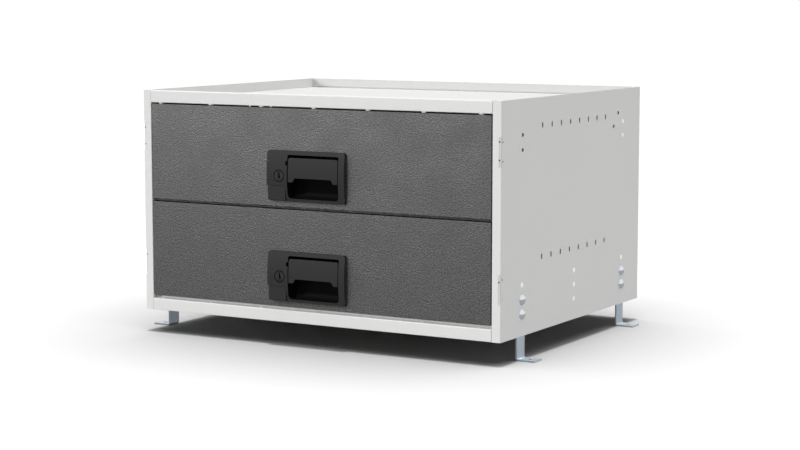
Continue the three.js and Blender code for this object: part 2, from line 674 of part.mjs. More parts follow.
// Drawer box: a sheet wall folded round, with closed hems along its top edges and a window for the
// latch housing, and a floor sheet welded into its foot.
// A drawer's own frame has z = 0 at the underside of its front.
function boxPlan(inset) {
  const across = boxHalfWidth - inset;
  return roundedRectangle([-across, across], [boxFront + inset, boxFront + BOX_DEPTH - inset], BOX_CORNER);
}

function drawerBox() {
  const top = BOX_LIFT + boxHeight;
  const outer = extrude(boxPlan(0), "z", BOX_LIFT, top);
  const inside = extrude(boxPlan(SHEET), "z", BOX_LIFT - OVERRUN, top - BOX_HEM);
  const mouth = extrude(boxPlan(2 * SHEET), "z", top - BOX_HEM - OVERRUN, top + OVERRUN);
  return cut(outer, [inside, mouth, housingCutout(boxFront - OVERRUN, boxFront + OVERRUN)]);
}

function drawerFloor() {
  const sheet = extrude(boxPlan(SHEET + SEAT_GAP), "z", BOX_LIFT, BOX_LIFT + SHEET);
  const slotX = TONGUE_WIDTH / 2 + STRIKE_SLOT_CLEARANCE;
  const slotY = TONGUE_THICKNESS / 2 + STRIKE_SLOT_CLEARANCE;
  const across = [tongueX - slotX, tongueX + slotX];
  return sheet.subtract(block(across, [tongueY - slotY, tongueY + slotY], [BOX_LIFT - OVERRUN, BOX_LIFT + OVERRUN]));
}

// The window that the latch housing passes through, in the drawer's frame
function housingCutout(from, to) {
  const left = LATCH_SHIFT + lockPlace - bossRadius - CUTOUT_GAP;
  const right = LATCH_SHIFT + pocketRight + HOUSING_WALL + CUTOUT_GAP;
  const low = LATCH_RISE + POCKET_FOOT - HOUSING_WALL - CUTOUT_GAP;
  const high = LATCH_RISE + pocketTop + HOUSING_WALL + CUTOUT_GAP;
  return block([left, right], [from, to], [low, high]);
}

// Drawer front: a moulded panel, its back cored out into ribbed pockets
function drawerFront() {
  const outline = roundedRectangle([-frontHalfWidth, frontHalfWidth], [0, frontHeight], FRONT_CORNER);
  const panel = extrude(outline, "y", FRONT_SETBACK, frontBack, { bevel: FRONT_EDGE });
  const spanX = 2 * (frontHalfWidth - FRONT_RIM) + FRONT_RIB;
  const spanZ = frontHeight - 2 * FRONT_RIM + FRONT_RIB;
  const stepX = spanX / FRONT_POCKET_COLUMNS;
  const stepZ = spanZ / FRONT_POCKET_ROWS;
  const pockets = [];
  for (let column = 0; column < FRONT_POCKET_COLUMNS; column += 1) {
    for (let row = 0; row < FRONT_POCKET_ROWS; row += 1) {
      const x = FRONT_RIM - frontHalfWidth + column * stepX;
      const z = FRONT_RIM + row * stepZ;
      const depth = [FRONT_SETBACK + FRONT_SKIN, frontBack + OVERRUN];
      pockets.push(block([x, x + stepX - FRONT_RIB], depth, [z, z + stepZ - FRONT_RIB]));
    }
  }
  const window = housingCutout(FRONT_SETBACK - OVERRUN, frontBack + OVERRUN);
  const windowWall = block(
    [LATCH_SHIFT - LATCH_WIDTH / 2, LATCH_SHIFT + LATCH_WIDTH / 2],
    [FRONT_SETBACK, frontBack + OVERRUN],
    [LATCH_RISE - FRONT_RIB, LATCH_RISE + LATCH_HEIGHT + FRONT_RIB]
  );
  return cut(panel, [joined(pockets).subtract(windowWall), window]);
}

// Latch pieces share a frame: x from the housing's middle, y from the drawer front's face, z from
// the housing's lower edge. Their faces follow one crowned surface, sunk by a small step.
function crownedSlab([x0, x1], sink, back) {
  const shape = new THREE.Shape();
  const radius = crownRadius - sink;
  const reach = Math.asin(latchCentre / crownRadius);
  shape.moveTo(back, 0);
  for (let step = 0; step <= ARC_STEPS; step += 1) {
    const angle = -reach + (2 * reach * step) / ARC_STEPS;
    shape.lineTo(crownCentre - radius * Math.cos(angle), latchCentre + crownRadius * Math.sin(angle));
  }
  shape.lineTo(back, LATCH_HEIGHT);
  return extrude(shape, "x", x0, x1);
}

// The finger pocket, grown by a wall for the outside of the bowl
function pocketSolid(grow, front) {
  const foot = POCKET_FOOT - grow;
  const top = pocketTop + grow;
  const back = POCKET_DEPTH + grow;
  const side = new THREE.Shape();
  side.moveTo(front, foot);
  side.lineTo(0, foot);
  side.absellipse(0, foot + POCKET_SCOOP, back, POCKET_SCOOP, -Math.PI / 2, 0, false);
  side.lineTo(back, top);
  side.lineTo(front, top);
  const footCorner = POCKET_FOOT_CORNER + grow;
  const topCorner = POCKET_TOP_CORNER + grow;
  const radii = [footCorner, footCorner, topCorner, topCorner];
  const face = roundedRectangle([pocketLeft - grow, pocketRight + grow], [foot, top], radii);
  const scooped = extrude(side, "x", pocketLeft - grow, pocketRight + grow, { steps: SCOOP_STEPS });
  return scooped.intersect(extrude(face, "y", front, back, { steps: SCOOP_STEPS }));
}

function latchHousing() {
  const halfLatch = LATCH_WIDTH / 2;
  const outline = roundedRectangle([-halfLatch, halfLatch], [0, LATCH_HEIGHT], LATCH_CORNER);
  const facePlate = crownedSlab([-halfLatch, halfLatch], 0, -SEAT_GAP).intersect(
    extrude(outline, "y", -LATCH_CROWN_PROUD - OVERRUN, OVERRUN)
  );
  const roomRadii = [COVER_GAP, COVER_GAP, COVER_HIGH_CORNER + COVER_GAP, COVER_GAP];
  const room = roundedRectangle([-halfLatch - OVERRUN, coverRight], [-OVERRUN, COVER_HEIGHT], roomRadii);
  const coverRoom = extrude(room, "y", -LATCH_CROWN_PROUD - OVERRUN, OVERRUN);
  const coverSeat = block(
    [2 * COVER_INSET - halfLatch, coverRight + OVERRUN],
    [-SEAT_GAP - COVER_SEAT, -SEAT_GAP],
    [COVER_INSET + COVER_GAP, COVER_HEIGHT + OVERRUN]
  );
  const bowl = pocketSolid(HOUSING_WALL, -LATCH_EDGE_PROUD);
  const boss = bar("y", bossRadius, [lockPlace, latchCentre], -LATCH_EDGE_PROUD, LOCK_HEAD_LENGTH, ROUND_SIDES);
  const guideX = TONGUE_WIDTH / 2 + SEAT_GAP + GUIDE_WALL;
  const guideTop = TONGUE_TOP + TONGUE_TRAVEL + 2 * GUIDE_WALL;
  const guide = block(
    [tongueMiddle - guideX, tongueMiddle + guideX],
    [POCKET_DEPTH + HOUSING_WALL / 2, tongueBack + SEAT_GAP + GUIDE_WALL],
    [GUIDE_FOOT, guideTop]
  );
  const channel = block(
    [tongueMiddle - guideX + GUIDE_WALL, tongueMiddle + guideX - GUIDE_WALL],
    [tongueFront - SEAT_GAP, tongueBack + SEAT_GAP],
    [GUIDE_FOOT - OVERRUN, guideTop - GUIDE_WALL]
  );
  const lockFront = -LATCH_CROWN_PROUD - OVERRUN;
  const headSeat = LOCK_HEAD_LENGTH - LATCH_CROWN_PROUD;
  const barrelSeat = LOCK_HEAD_LENGTH + OVERRUN;
  const lockBore = [
    bar("y", LOCK_RADIUS + SEAT_GAP, [lockPlace, latchCentre], lockFront, headSeat, ROUND_SIDES),
    bar("y", LOCK_BARREL_RADIUS + SEAT_GAP, [lockPlace, latchCentre], lockFront, barrelSeat, ROUND_SIDES),
  ];
  const pinFrom = pocketLeft - PIN_SEAT - SEAT_GAP;
  const pinTo = pocketRight + PIN_SEAT + SEAT_GAP;
  const pinBore = bar("x", PIN_RADIUS + PIN_CLEARANCE, [PIN_DEPTH, pivotHeight], pinFrom, pinTo);
  const pinNotch = block(
    [pocketLeft - PIN_NOTCH_WIDTH, pocketLeft + OVERRUN],
    [-LATCH_CROWN_PROUD - OVERRUN, PIN_DEPTH - PIN_RADIUS],
    [pivotHeight - PIN_NOTCH_FALL, pivotHeight + PIN_NOTCH_RISE]
  );
  const combFront = HOUSING_WALL / 2 - LATCH_EDGE_PROUD;
  const comb = Array.from({ length: COMB_TEETH }, (_, step) => {
    const right = pocketRight - COMB_INSET - step * COMB_PITCH;
    const rise = [pocketTop - COMB_TOOTH_DROP, pocketTop + HOUSING_WALL / 2];
    return block([right - COMB_TOOTH_WIDTH, right], [combFront, combFront + COMB_TOOTH_DEPTH], rise);
  });
  const shell = cut(joined([facePlate, bowl, boss, guide]), [coverRoom, pocketSolid(0, lockFront)]);
  const fitted = cut(joined([shell, coverSeat, ...comb]), [...lockBore, channel, pinNotch]);
  return fitted.subtract(pinBore);
}

// Blank cover over the free corner of the housing, flat where the housing's face falls away
function latchCover() {
  const left = COVER_INSET - LATCH_WIDTH / 2;
  const right = coverRight - COVER_GAP;
  const rise = [COVER_GAP, COVER_HEIGHT - COVER_GAP];
  const outline = roundedRectangle([left, right], rise, [COVER_LOW_CORNER, COVER_GAP, COVER_HIGH_CORNER, COVER_GAP]);
  const depth = [-COVER_PROUD, -2 * SEAT_GAP - COVER_SEAT];
  const section = roundedRectangle(depth, rise, [COVER_EDGE, COVER_GAP, COVER_GAP, COVER_GAP]);
  return extrude(section, "x", left, right).intersect(extrude(outline, "y", -LATCH_CROWN_PROUD, 0));
}

// Paddle: a crowned plate with a cut-away lower edge and a hinge barrel behind its top
function latchPaddle() {
  const half = POCKET_WIDTH / 2 - PADDLE_SIDE_GAP;
  const left = pocketMiddle - half;
  const right = pocketMiddle + half;
  const gripHalf = PADDLE_GRIP_WIDTH / 2;
  const outline = new THREE.Shape();
  outline.moveTo(left, paddleFoot);
  outline.lineTo(pocketMiddle - gripHalf - PADDLE_GRIP_SLOPE, paddleFoot);
  outline.lineTo(pocketMiddle - gripHalf, paddleFoot + PADDLE_GRIP_RISE);
  outline.lineTo(pocketMiddle + gripHalf, paddleFoot + PADDLE_GRIP_RISE);
  outline.lineTo(pocketMiddle + gripHalf + PADDLE_GRIP_SLOPE, paddleFoot);
  outline.lineTo(right, paddleFoot);
  const cornerHeight = paddleTop - PADDLE_CORNER;
  outline.absarc(right - PADDLE_CORNER, cornerHeight, PADDLE_CORNER, 0, Math.PI / 2, false);
  outline.absarc(left + PADDLE_CORNER, cornerHeight, PADDLE_CORNER, Math.PI / 2, Math.PI, false);
  const front = crownedSlab([left, right], PADDLE_SINK, PIN_DEPTH);
  const hollow = crownedSlab([left - OVERRUN, right + OVERRUN], PADDLE_SINK + PADDLE_WALL, POCKET_DEPTH);
  const skin = front.subtract(hollow).intersect(extrude(outline, "y", -LATCH_CROWN_PROUD - OVERRUN, OVERRUN));
  const barrel = bar("x", PADDLE_BARREL_RADIUS, [PIN_DEPTH, pivotHeight], left, right, HOLE_SIDES);
  const webs = [left, pocketMiddle - PADDLE_WEB / 2, right - PADDLE_WEB].map((x) =>
    block(
      [x, x + PADDLE_WEB],
      [-LATCH_EDGE_PROUD, PIN_DEPTH],
      [pivotHeight - PADDLE_PIVOT_DROP, pivotHeight]
    )
  );
  const bore = bar("x", PIN_RADIUS + PIN_CLEARANCE, [PIN_DEPTH, pivotHeight], left - OVERRUN, right + OVERRUN);
  return joined([skin, barrel, ...webs]).subtract(bore);
}

function latchPin() {
  return bar("x", PIN_RADIUS, [PIN_DEPTH, pivotHeight], pocketLeft - PIN_SEAT, pocketRight + PIN_SEAT);
}

// Lock: a headed cylinder with a keyway, and the cam on its rear stub
function lockCylinder() {
  const centre = [lockPlace, latchCentre];
  const headFront = PADDLE_SINK - LATCH_CROWN_PROUD;
  const headBack = LOCK_HEAD_LENGTH - LATCH_CROWN_PROUD - SEAT_GAP;
  const stubEnd = camFront + CAM_THICKNESS + CAM_GAP;
  const head = bar("y", LOCK_RADIUS, centre, headFront, headBack, ROUND_SIDES);
  const barrel = bar("y", LOCK_BARREL_RADIUS, centre, headFront, camFront - SEAT_GAP, ROUND_SIDES);
  const stub = bar("y", LOCK_STUB_RADIUS, centre, headFront, stubEnd);
  const keyDepth = [headFront - OVERRUN, headFront + KEY_DEPTH];
  const slot = block(
    [lockPlace - KEY_SLOT_WIDTH / 2, lockPlace + KEY_SLOT_WIDTH / 2],
    keyDepth,
    [latchCentre - KEY_SLOT_FALL, latchCentre + KEY_SLOT_RISE]
  );
  const holePlace = [lockPlace + KEY_HOLE_SHIFT, latchCentre - KEY_HOLE_DROP];
  const keyHole = bar("y", KEY_HOLE_RADIUS, holePlace, ...keyDepth);
  return cut(joined([head, barrel, stub]), [slot, keyHole]);
}

function lockCam() {
  const half = CAM_WIDTH / 2;
  const across = [lockPlace - half, lockPlace + half];
  const outline = roundedRectangle(across, [latchCentre - CAM_LENGTH, latchCentre + half], half);
  const plate = extrude(outline, "y", camFront, camFront + CAM_THICKNESS);
  const radius = LOCK_STUB_RADIUS + SEAT_GAP;
  const bore = bar("y", radius, [lockPlace, latchCentre], camFront - OVERRUN, camFront + CAM_THICKNESS + OVERRUN);
  return plate.subtract(bore);
}

// Latch tongue: a flat bar in the housing's guide, ending just over its strike plate
function latchTongue() {
  const across = [tongueMiddle - TONGUE_WIDTH / 2, tongueMiddle + TONGUE_WIDTH / 2];
  const outline = roundedRectangle(across, [tongueTip - LATCH_RISE, TONGUE_TOP], SHEET);
  return extrude(outline, "y", tongueFront, tongueBack);
}

// Assembly
const unit = new THREE.Group();
const casing = new THREE.Group();
casing.position.set(0, (LATCH_CROWN_PROUD - FRONT_SETBACK - CASE_DEPTH) / 2, FOOT_DROP);
unit.add(casing);

const sides = [["left", -1], ["right", 1]];
sides.forEach(([hand, side]) => casing.add(toMesh(`side_panel_${hand}`, sidePanel(side), paint())));
casing.add(toMesh("top_tray", trayPanel({ isBase: false }), paint()));

const base = toMesh("base_panel", trayPanel({ isBase: true }), paint());
base.rotation.y = Math.PI;
base.position.z = CASE_HEIGHT;
casing.add(base);

casing.add(toMesh("back_panel", backPanel(), paint()));
casing.add(toMesh("middle_rail", middleRail(), paint()));

sides.forEach(([hand, side]) => {
  [["front", footPlaces[0]], ["rear", footPlaces[1]]].forEach(([end, place]) => {
    casing.add(toMesh(`foot_${end}_${hand}`, foot(side, place), zinc()));
    [["lower", 0], ["upper", 1]].forEach(([level, step]) => {
      const bolt = footBolt(side, place, HOLE_LOW + step * HOLE_PITCH);
      casing.add(toMesh(`bolt_${end}_${hand}_${level}`, bolt, zinc()));
    });
  });
});

const levels = ["lower", "upper"];
levels.slice(0, DRAWER_COUNT).forEach((level, index) => {
  const drawer = new THREE.Group();
  drawer.position.z = lowestFront + index * drawerPitch;
  casing.add(drawer);

  const slides = new THREE.Group();
  slides.position.z = slideRise;
  drawer.add(slides);
  const slideEnd = SLIDE_START + SLIDE_LENGTH;
  sides.forEach(([hand, side]) => {
    const outer = slideMember(side, outerSection, SLIDE_START, slideEnd);
    const middle = slideMember(side, middleSection, SLIDE_START, slideEnd - MIDDLE_SHORTER);
    const inner = slideMember(side, innerSection, SLIDE_START, slideEnd - MIDDLE_SHORTER);
    slides.add(toMesh(`runner_${level}_${hand}`, runner(side), paint()));
    slides.add(toMesh(`slide_outer_${level}_${hand}`, outer, steel()));
    slides.add(toMesh(`slide_middle_${level}_${hand}`, middle, steel()));
    slides.add(toMesh(`slide_inner_${level}_${hand}`, inner, steel()));
  });

  drawer.add(toMesh(`drawer_box_${level}`, drawerBox(), paint()));
  drawer.add(toMesh(`drawer_floor_${level}`, drawerFloor(), paint()));
  drawer.add(toMesh(`drawer_front_${level}`, drawerFront(), frontPlastic()));

  const strike = toMesh(`strike_plate_${level}`, strikePlate(), zinc());
  strike.position.set(tongueX, tongueY, strikePlaces[index] - drawer.position.z);
  drawer.add(strike);

  const latch = new THREE.Group();
  latch.position.set(LATCH_SHIFT, FRONT_SETBACK, LATCH_RISE);
  drawer.add(latch);
  latch.add(toMesh(`latch_housing_${level}`, latchHousing(), blackPlastic()));
  latch.add(toMesh(`latch_cover_${level}`, latchCover(), blackPlastic()));
  latch.add(toMesh(`latch_paddle_${level}`, latchPaddle(), blackPlastic()));
  latch.add(toMesh(`latch_pin_${level}`, latchPin(), steel()));
  latch.add(toMesh(`lock_cylinder_${level}`, lockCylinder(), blackPlastic()));
  latch.add(toMesh(`lock_cam_${level}`, lockCam(), zinc()));
  latch.add(toMesh(`latch_tongue_${level}`, latchTongue(), zinc()));
});

export default unit;
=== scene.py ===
import json
import math

import bmesh
import bpy
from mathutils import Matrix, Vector

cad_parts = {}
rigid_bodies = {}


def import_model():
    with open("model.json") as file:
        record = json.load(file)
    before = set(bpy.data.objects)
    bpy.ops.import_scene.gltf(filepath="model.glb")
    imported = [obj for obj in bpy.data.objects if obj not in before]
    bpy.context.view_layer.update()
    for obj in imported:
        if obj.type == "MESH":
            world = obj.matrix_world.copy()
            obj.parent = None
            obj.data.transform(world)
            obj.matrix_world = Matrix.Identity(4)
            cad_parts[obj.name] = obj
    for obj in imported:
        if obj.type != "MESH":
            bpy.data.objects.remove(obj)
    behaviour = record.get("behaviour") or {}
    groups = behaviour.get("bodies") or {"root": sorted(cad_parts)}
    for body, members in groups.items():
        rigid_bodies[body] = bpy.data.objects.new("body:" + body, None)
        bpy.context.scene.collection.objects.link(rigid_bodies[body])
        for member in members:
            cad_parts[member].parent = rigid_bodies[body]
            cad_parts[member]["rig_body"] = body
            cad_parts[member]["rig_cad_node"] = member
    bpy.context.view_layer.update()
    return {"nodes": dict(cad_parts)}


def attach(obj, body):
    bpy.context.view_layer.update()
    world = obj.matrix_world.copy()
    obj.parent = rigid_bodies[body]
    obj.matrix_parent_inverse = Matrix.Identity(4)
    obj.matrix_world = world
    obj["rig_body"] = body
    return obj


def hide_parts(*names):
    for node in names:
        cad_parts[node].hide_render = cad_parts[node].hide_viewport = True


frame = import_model()

# The view: a long lens at the right of the drawer fronts, a little above them.
# It stands 3.8 m away, so the casing's edges run almost parallel.
EYE = (1.91381, -3.29529, 0.64022)
EYE_TURN = 30.0019
EYE_DIP = 6.672
LENS_MM = 89.904
SENSOR_MM = 36
VIEW_DEPTH = 100

bpy.ops.object.camera_add(location=EYE, rotation=(math.radians(90 - EYE_DIP), 0, math.radians(EYE_TURN)))
camera = bpy.context.object
camera.name = "view_camera"
camera.data.lens = LENS_MM
camera.data.sensor_width = SENSOR_MM
camera.data.clip_end = VIEW_DEPTH
bpy.context.scene.camera = camera


# Casing: side panels, tray, base, back and cross rail, folded from 1.2 mm sheet steel and spot
# welded, then powder coated white. Four folded runners inside carry the slides.
CASING_NODES = (
    "side_panel_left",
    "side_panel_right",
    "top_tray",
    "base_panel",
    "back_panel",
    "middle_rail",
    "runner_lower_left",
    "runner_lower_right",
    "runner_upper_left",
    "runner_upper_right",
)
COAT_COLOUR = "#E9E9E8"
COAT_ROUGHNESS = 0.6
COAT_GLOSS = 0.12
PEEL_MM = 2.6
PEEL_DEPTH_MM = 0.02
PEEL_STRENGTH = 0.35
# Painted shade: greyer copies of the coat for the tray's floor, the back and the base's channel.
TRAY_PAINTED_SHADE_COLOUR = "#DDDDDC"
TRAY_SHADE_FROM_Y_MM = -280
LIP_PAINTED_SHADE_COLOUR = "#CDCDCC"
LIP_SHADE_FROM_Y_MM = -288
MM = 0.001
MERGE_MM = 0.002
FLAT_DEGREES = 0.5
SMOOTH_DEGREES = 34
EDGE_SEGMENTS = 2


def linear(hex_colour):
    levels = [int(hex_colour[i : i + 2], 16) / 255 for i in (1, 3, 5)]
    return (*[v / 12.92 if v <= 0.04045 else ((v + 0.055) / 1.055) ** 2.4 for v in levels], 1.0)


def add_node(tree, kind, settings, links=()):
    node = tree.nodes.new(kind)
    for key, value in settings.items():
        if key in node.inputs:
            node.inputs[key].default_value = value
        else:
            setattr(node, key, value)
    for socket, source in dict(links).items():
        tree.links.new(source, node.inputs[socket])
    return node


def start_material(name, hex_colour, roughness, **settings):
    """A material with its even values on its own shader, and Object coordinates to draw on."""
    material = bpy.data.materials.new(name)
    material.use_nodes = True
    shader = material.node_tree.nodes["Principled BSDF"]
    shader.inputs["Base Color"].default_value = linear(hex_colour)
    shader.inputs["Roughness"].default_value = roughness
    for key, value in settings.items():
        shader.inputs[key.replace("_", " ")].default_value = value
    place = add_node(material.node_tree, "ShaderNodeTexCoord", {}).outputs["Object"]
    return material, material.node_tree, shader, place


def deselect_all():
    for thing in bpy.context.view_layer.objects:
        thing.select_set(False)


def finish_surface(piece, edge_mm=0):
    """Break the piece's edges and shade its flat faces flat and its folds smooth."""
    deselect_all()
    piece.select_set(True)
    bpy.context.view_layer.objects.active = piece
    if edge_mm:
        bevel = piece.modifiers.new("broken_edges", "BEVEL")
        bevel.width = edge_mm * MM
        bevel.segments = EDGE_SEGMENTS
        bevel.limit_method = "ANGLE"
        bevel.angle_limit = math.radians(SMOOTH_DEGREES)
        bevel.use_clamp_overlap = True
        bpy.ops.object.modifier_apply(modifier=bevel.name)
    bpy.ops.object.shade_smooth_by_angle(angle=math.radians(SMOOTH_DEGREES))
    weighted = piece.modifiers.new("flat_faces", "WEIGHTED_NORMAL")
    weighted.keep_sharp = True
    bpy.ops.object.modifier_apply(modifier=weighted.name)


def finished_copy(node_name, material, edge_mm=0):
    """The CAD solid as one merged surface with the finish of the real piece."""
    source = frame["nodes"][node_name]
    body = source["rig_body"]
    piece = source.copy()
    piece.data = source.data.copy()
    piece.name = node_name + "_finished"
    del piece["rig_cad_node"]
    piece.parent = None
    bpy.context.scene.collection.objects.link(piece)
    deselect_all()
    piece.select_set(True)
    bpy.context.view_layer.objects.active = piece
    bpy.ops.object.mode_set(mode="EDIT")
    bpy.ops.mesh.select_all(action="SELECT")
    bpy.ops.mesh.remove_doubles(threshold=MERGE_MM * MM)
    bpy.ops.mesh.customdata_custom_splitnormals_clear()
    bpy.ops.mesh.dissolve_limited(angle_limit=math.radians(FLAT_DEGREES))
    bpy.ops.object.mode_set(mode="OBJECT")
    finish_surface(piece, edge_mm)
    piece.data.materials.clear()
    piece.data.materials.append(material)
    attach(piece, body)
    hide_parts(node_name)
    return piece


# Polyester powder coat: sprayed dry and baked, it flows out to a satin skin that keeps a very
# shallow orange peel a few millimetres across.
powder_coat, tree, shader, place = start_material(
    "white_powder_coat", COAT_COLOUR, COAT_ROUGHNESS, Specular_IOR_Level=COAT_GLOSS
)
peel = add_node(
    tree, "ShaderNodeTexNoise", {"Scale": 1 / (PEEL_MM * MM), "Detail": 1.0}, {"Vector": place}
)
bump = add_node(
    tree,
    "ShaderNodeBump",
    {"Strength": PEEL_STRENGTH, "Distance": PEEL_DEPTH_MM * MM},
    {"Height": peel.outputs[0]},
)
tree.links.new(bump.outputs["Normal"], shader.inputs["Normal"])

casing_pieces = {node_name: finished_copy(node_name, powder_coat) for node_name in CASING_NODES}

# Painted shade: behind the front rail, the tray's floor and the back get a greyer copy of the coat, and the
# channel behind the base's rail a greyer one still, for the shade that falls there.
for colour, name, from_y_mm, node_names in (
    (TRAY_PAINTED_SHADE_COLOUR, "tray_coat_painted_shade", TRAY_SHADE_FROM_Y_MM, ("top_tray", "back_panel")),
    (LIP_PAINTED_SHADE_COLOUR, "lip_coat_painted_shade", LIP_SHADE_FROM_Y_MM, ("base_panel",)),
):
    shaded_coat = powder_coat.copy()
    shaded_coat.name = name
    shaded_coat.node_tree.nodes["Principled BSDF"].inputs["Base Color"].default_value = linear(colour)
    for node_name in node_names:
        piece = casing_pieces[node_name]
        piece.data.materials.append(shaded_coat)
        for face in piece.data.polygons:
            face.material_index = int(face.center.y > from_y_mm * MM)


# Closing strips: a narrow angle of the same sheet, spot welded behind each front return.
# They close the ends of the gaps round the drawer fronts, so none looks into the casing.
SIDES = (("left", -1), ("right", 1))
STRIP_FACE_MM = 359.5
STRIP_SHEET_MM = 1.2
STRIP_Y_MM = (-280.4, -269.0)
STRIP_Z_MM = (64.4, 434.2)
STRIP_LEG_MM = 6
STRIP_EDGE_MM = 0.3
FACING = 0.99


def settle(name):
    """Name the primitive that was just added, and put its place into its mesh."""
    piece = bpy.context.object
    piece.name = name
    bpy.ops.object.transform_apply(location=True, rotation=True, scale=True)
    return piece


def pick_faces(piece, wanted):
    """In edit mode, select the faces that pass the test."""
    mesh = bmesh.from_edit_mesh(piece.data)
    for face in mesh.faces:
        face.select = wanted(face)
    mesh.select_flush_mode()
    bmesh.update_edit_mesh(piece.data)


for hand, side in SIDES:
    deselect_all()
    depth = STRIP_Y_MM[1] - STRIP_Y_MM[0] - STRIP_SHEET_MM
    bpy.ops.mesh.primitive_cube_add(
        size=1,
        location=(
            side * (STRIP_FACE_MM + STRIP_SHEET_MM / 2) * MM,
            (STRIP_Y_MM[0] + depth / 2) * MM,
            sum(STRIP_Z_MM) / 2 * MM,
        ),
        scale=(STRIP_SHEET_MM * MM, depth * MM, (STRIP_Z_MM[1] - STRIP_Z_MM[0]) * MM),
    )
    strip = settle(f"closing_strip_{hand}")
    leg_from = (STRIP_Y_MM[1] - STRIP_SHEET_MM) * MM
    bpy.ops.object.mode_set(mode="EDIT")
    bpy.ops.mesh.select_mode(type="FACE")
    pick_faces(strip, lambda face: face.normal.y > FACING)
    bpy.ops.mesh.extrude_region_move(TRANSFORM_OT_translate={"value": (0, STRIP_SHEET_MM * MM, 0)})
    pick_faces(strip, lambda face: face.normal.x * side > FACING and face.calc_center_median().y > leg_from)
    bpy.ops.mesh.extrude_region_move(TRANSFORM_OT_translate={"value": (side * STRIP_LEG_MM * MM, 0, 0)})
    bpy.ops.object.mode_set(mode="OBJECT")
    finish_surface(strip, STRIP_EDGE_MM)
    strip.data.materials.append(powder_coat)
    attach(strip, "casing")


# Corner caps: a small steel lid, coated with the casing, closes the open top of each front flange.
# Its underside steps in and sits between the flange's walls, just below the rim.
CAP_X_MM = (361.0, 375.1)
CAP_Y_MM = (-289.1, -269.8)
CAP_TOP_MM = 456.2
CAP_SHEET_MM = 1.2
CAP_STEP_MM = 0.8
CAP_SKIRT_MM = 3
CAP_EDGE_MM = 0.3

for hand, side in SIDES:
    deselect_all()
    bpy.ops.mesh.primitive_cube_add(
        size=1,
        location=(
            side * sum(CAP_X_MM) / 2 * MM,
            sum(CAP_Y_MM) / 2 * MM,
            (CAP_TOP_MM - CAP_SHEET_MM / 2) * MM,
        ),
        scale=((CAP_X_MM[1] - CAP_X_MM[0]) * MM, (CAP_Y_MM[1] - CAP_Y_MM[0]) * MM, CAP_SHEET_MM * MM),
    )
    cap = settle(f"corner_cap_{hand}")
    bpy.ops.object.mode_set(mode="EDIT")
    bpy.ops.mesh.select_mode(type="FACE")
    pick_faces(cap, lambda face: face.normal.z < -FACING)
    bpy.ops.mesh.inset(thickness=CAP_STEP_MM * MM)
    bpy.ops.mesh.extrude_region_move(TRANSFORM_OT_translate={"value": (0, 0, -CAP_SKIRT_MM * MM)})
    bpy.ops.object.mode_set(mode="OBJECT")
    finish_surface(cap, CAP_EDGE_MM)
    cap.data.materials.append(powder_coat)
    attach(cap, "casing")


# Rail bumpers: seven small steel cups, welded under the top rail in line with its dimples and coated
# with the casing. They hang half a millimetre clear of the upper drawer front.
BUMPER_RADIUS_MM = 5.6
BUMPER_HANG_MM = 2.2
BUMPER_SHIFT_MM = -0.7
BUMPER_PITCH_MM = 112.5
BUMPERS_EACH_SIDE = 3
BUMPER_CORNERS = 24
BUMPER_TAPER = 0.82
BUMPER_EDGE_MM = 0.4
RAIL_FACE_MM = -290.3
RAIL_UNDERSIDE_MM = 434.3

for number in range(2 * BUMPERS_EACH_SIDE + 1):
    middle_x = (BUMPER_SHIFT_MM + (number - BUMPERS_EACH_SIDE) * BUMPER_PITCH_MM) * MM
    middle_y = (RAIL_FACE_MM + BUMPER_RADIUS_MM) * MM
    foot_z = (RAIL_UNDERSIDE_MM - BUMPER_HANG_MM) * MM
    deselect_all()
    bpy.ops.mesh.primitive_cylinder_add(
        vertices=BUMPER_CORNERS,
        radius=BUMPER_RADIUS_MM * MM,
        depth=BUMPER_HANG_MM * MM,
        location=(middle_x, middle_y, foot_z + BUMPER_HANG_MM / 2 * MM),
    )
    bumper = settle(f"rail_bumper_{number + 1}")
    bpy.ops.object.mode_set(mode="EDIT")
    bpy.ops.mesh.select_mode(type="FACE")
    pick_faces(bumper, lambda face: face.normal.z < -FACING)
    bpy.ops.transform.resize(
        value=(BUMPER_TAPER, BUMPER_TAPER, 1), center_override=(middle_x, middle_y, foot_z)
    )
    bpy.ops.object.mode_set(mode="OBJECT")
    finish_surface(bumper, BUMPER_EDGE_MM)
    bumper.data.materials.append(powder_coat)
    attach(bumper, "casing")


# Hole plugs: cream polythene caps pushed into the fixing holes that this fitting leaves unused.
# Each is a thin domed head with a short shank that grips the sheet.
PANEL_FACE_MM = 376.5
PLUG_HEAD_MM = 0.5
PLUG_DOME_MM = 0.35
PLUG_RIM_MM = 1.5
PLUG_SHANK_RADIUS_MM = 3.4
PLUG_SHANK_MM = 1.4
PLUG_EDGE_MM = 0.15
PLUG_CORNERS = 24
PLUG_COLOUR = "#EFEDE3"
PLUG_ROUGHNESS = 0.45
PLUG_SCATTER = 0.1
PLUG_SCATTER_MM = 1
# Painted glow: emission strength on the caps.
PLUG_PAINTED_GLOW = 0.26
HAZE_MM = 1.2
HAZE_DEPTH_MM = 0.03
HAZE_STRENGTH = 0.2
QUARTER_TURN = math.radians(90)

# From front to back, up, and the head's radius.
PLUG_PLACES_MM = (
    (-208.25, 132.5, 4.3),
    (4.55, 80.5, 4.3),
    (4.55, 106.5, 4.3),
    (4.55, 132.5, 4.3),
    (217.35, 132.5, 4.3),
    (217.35, 368.0, 3.9),
    (217.35, 394.0, 3.9),
)
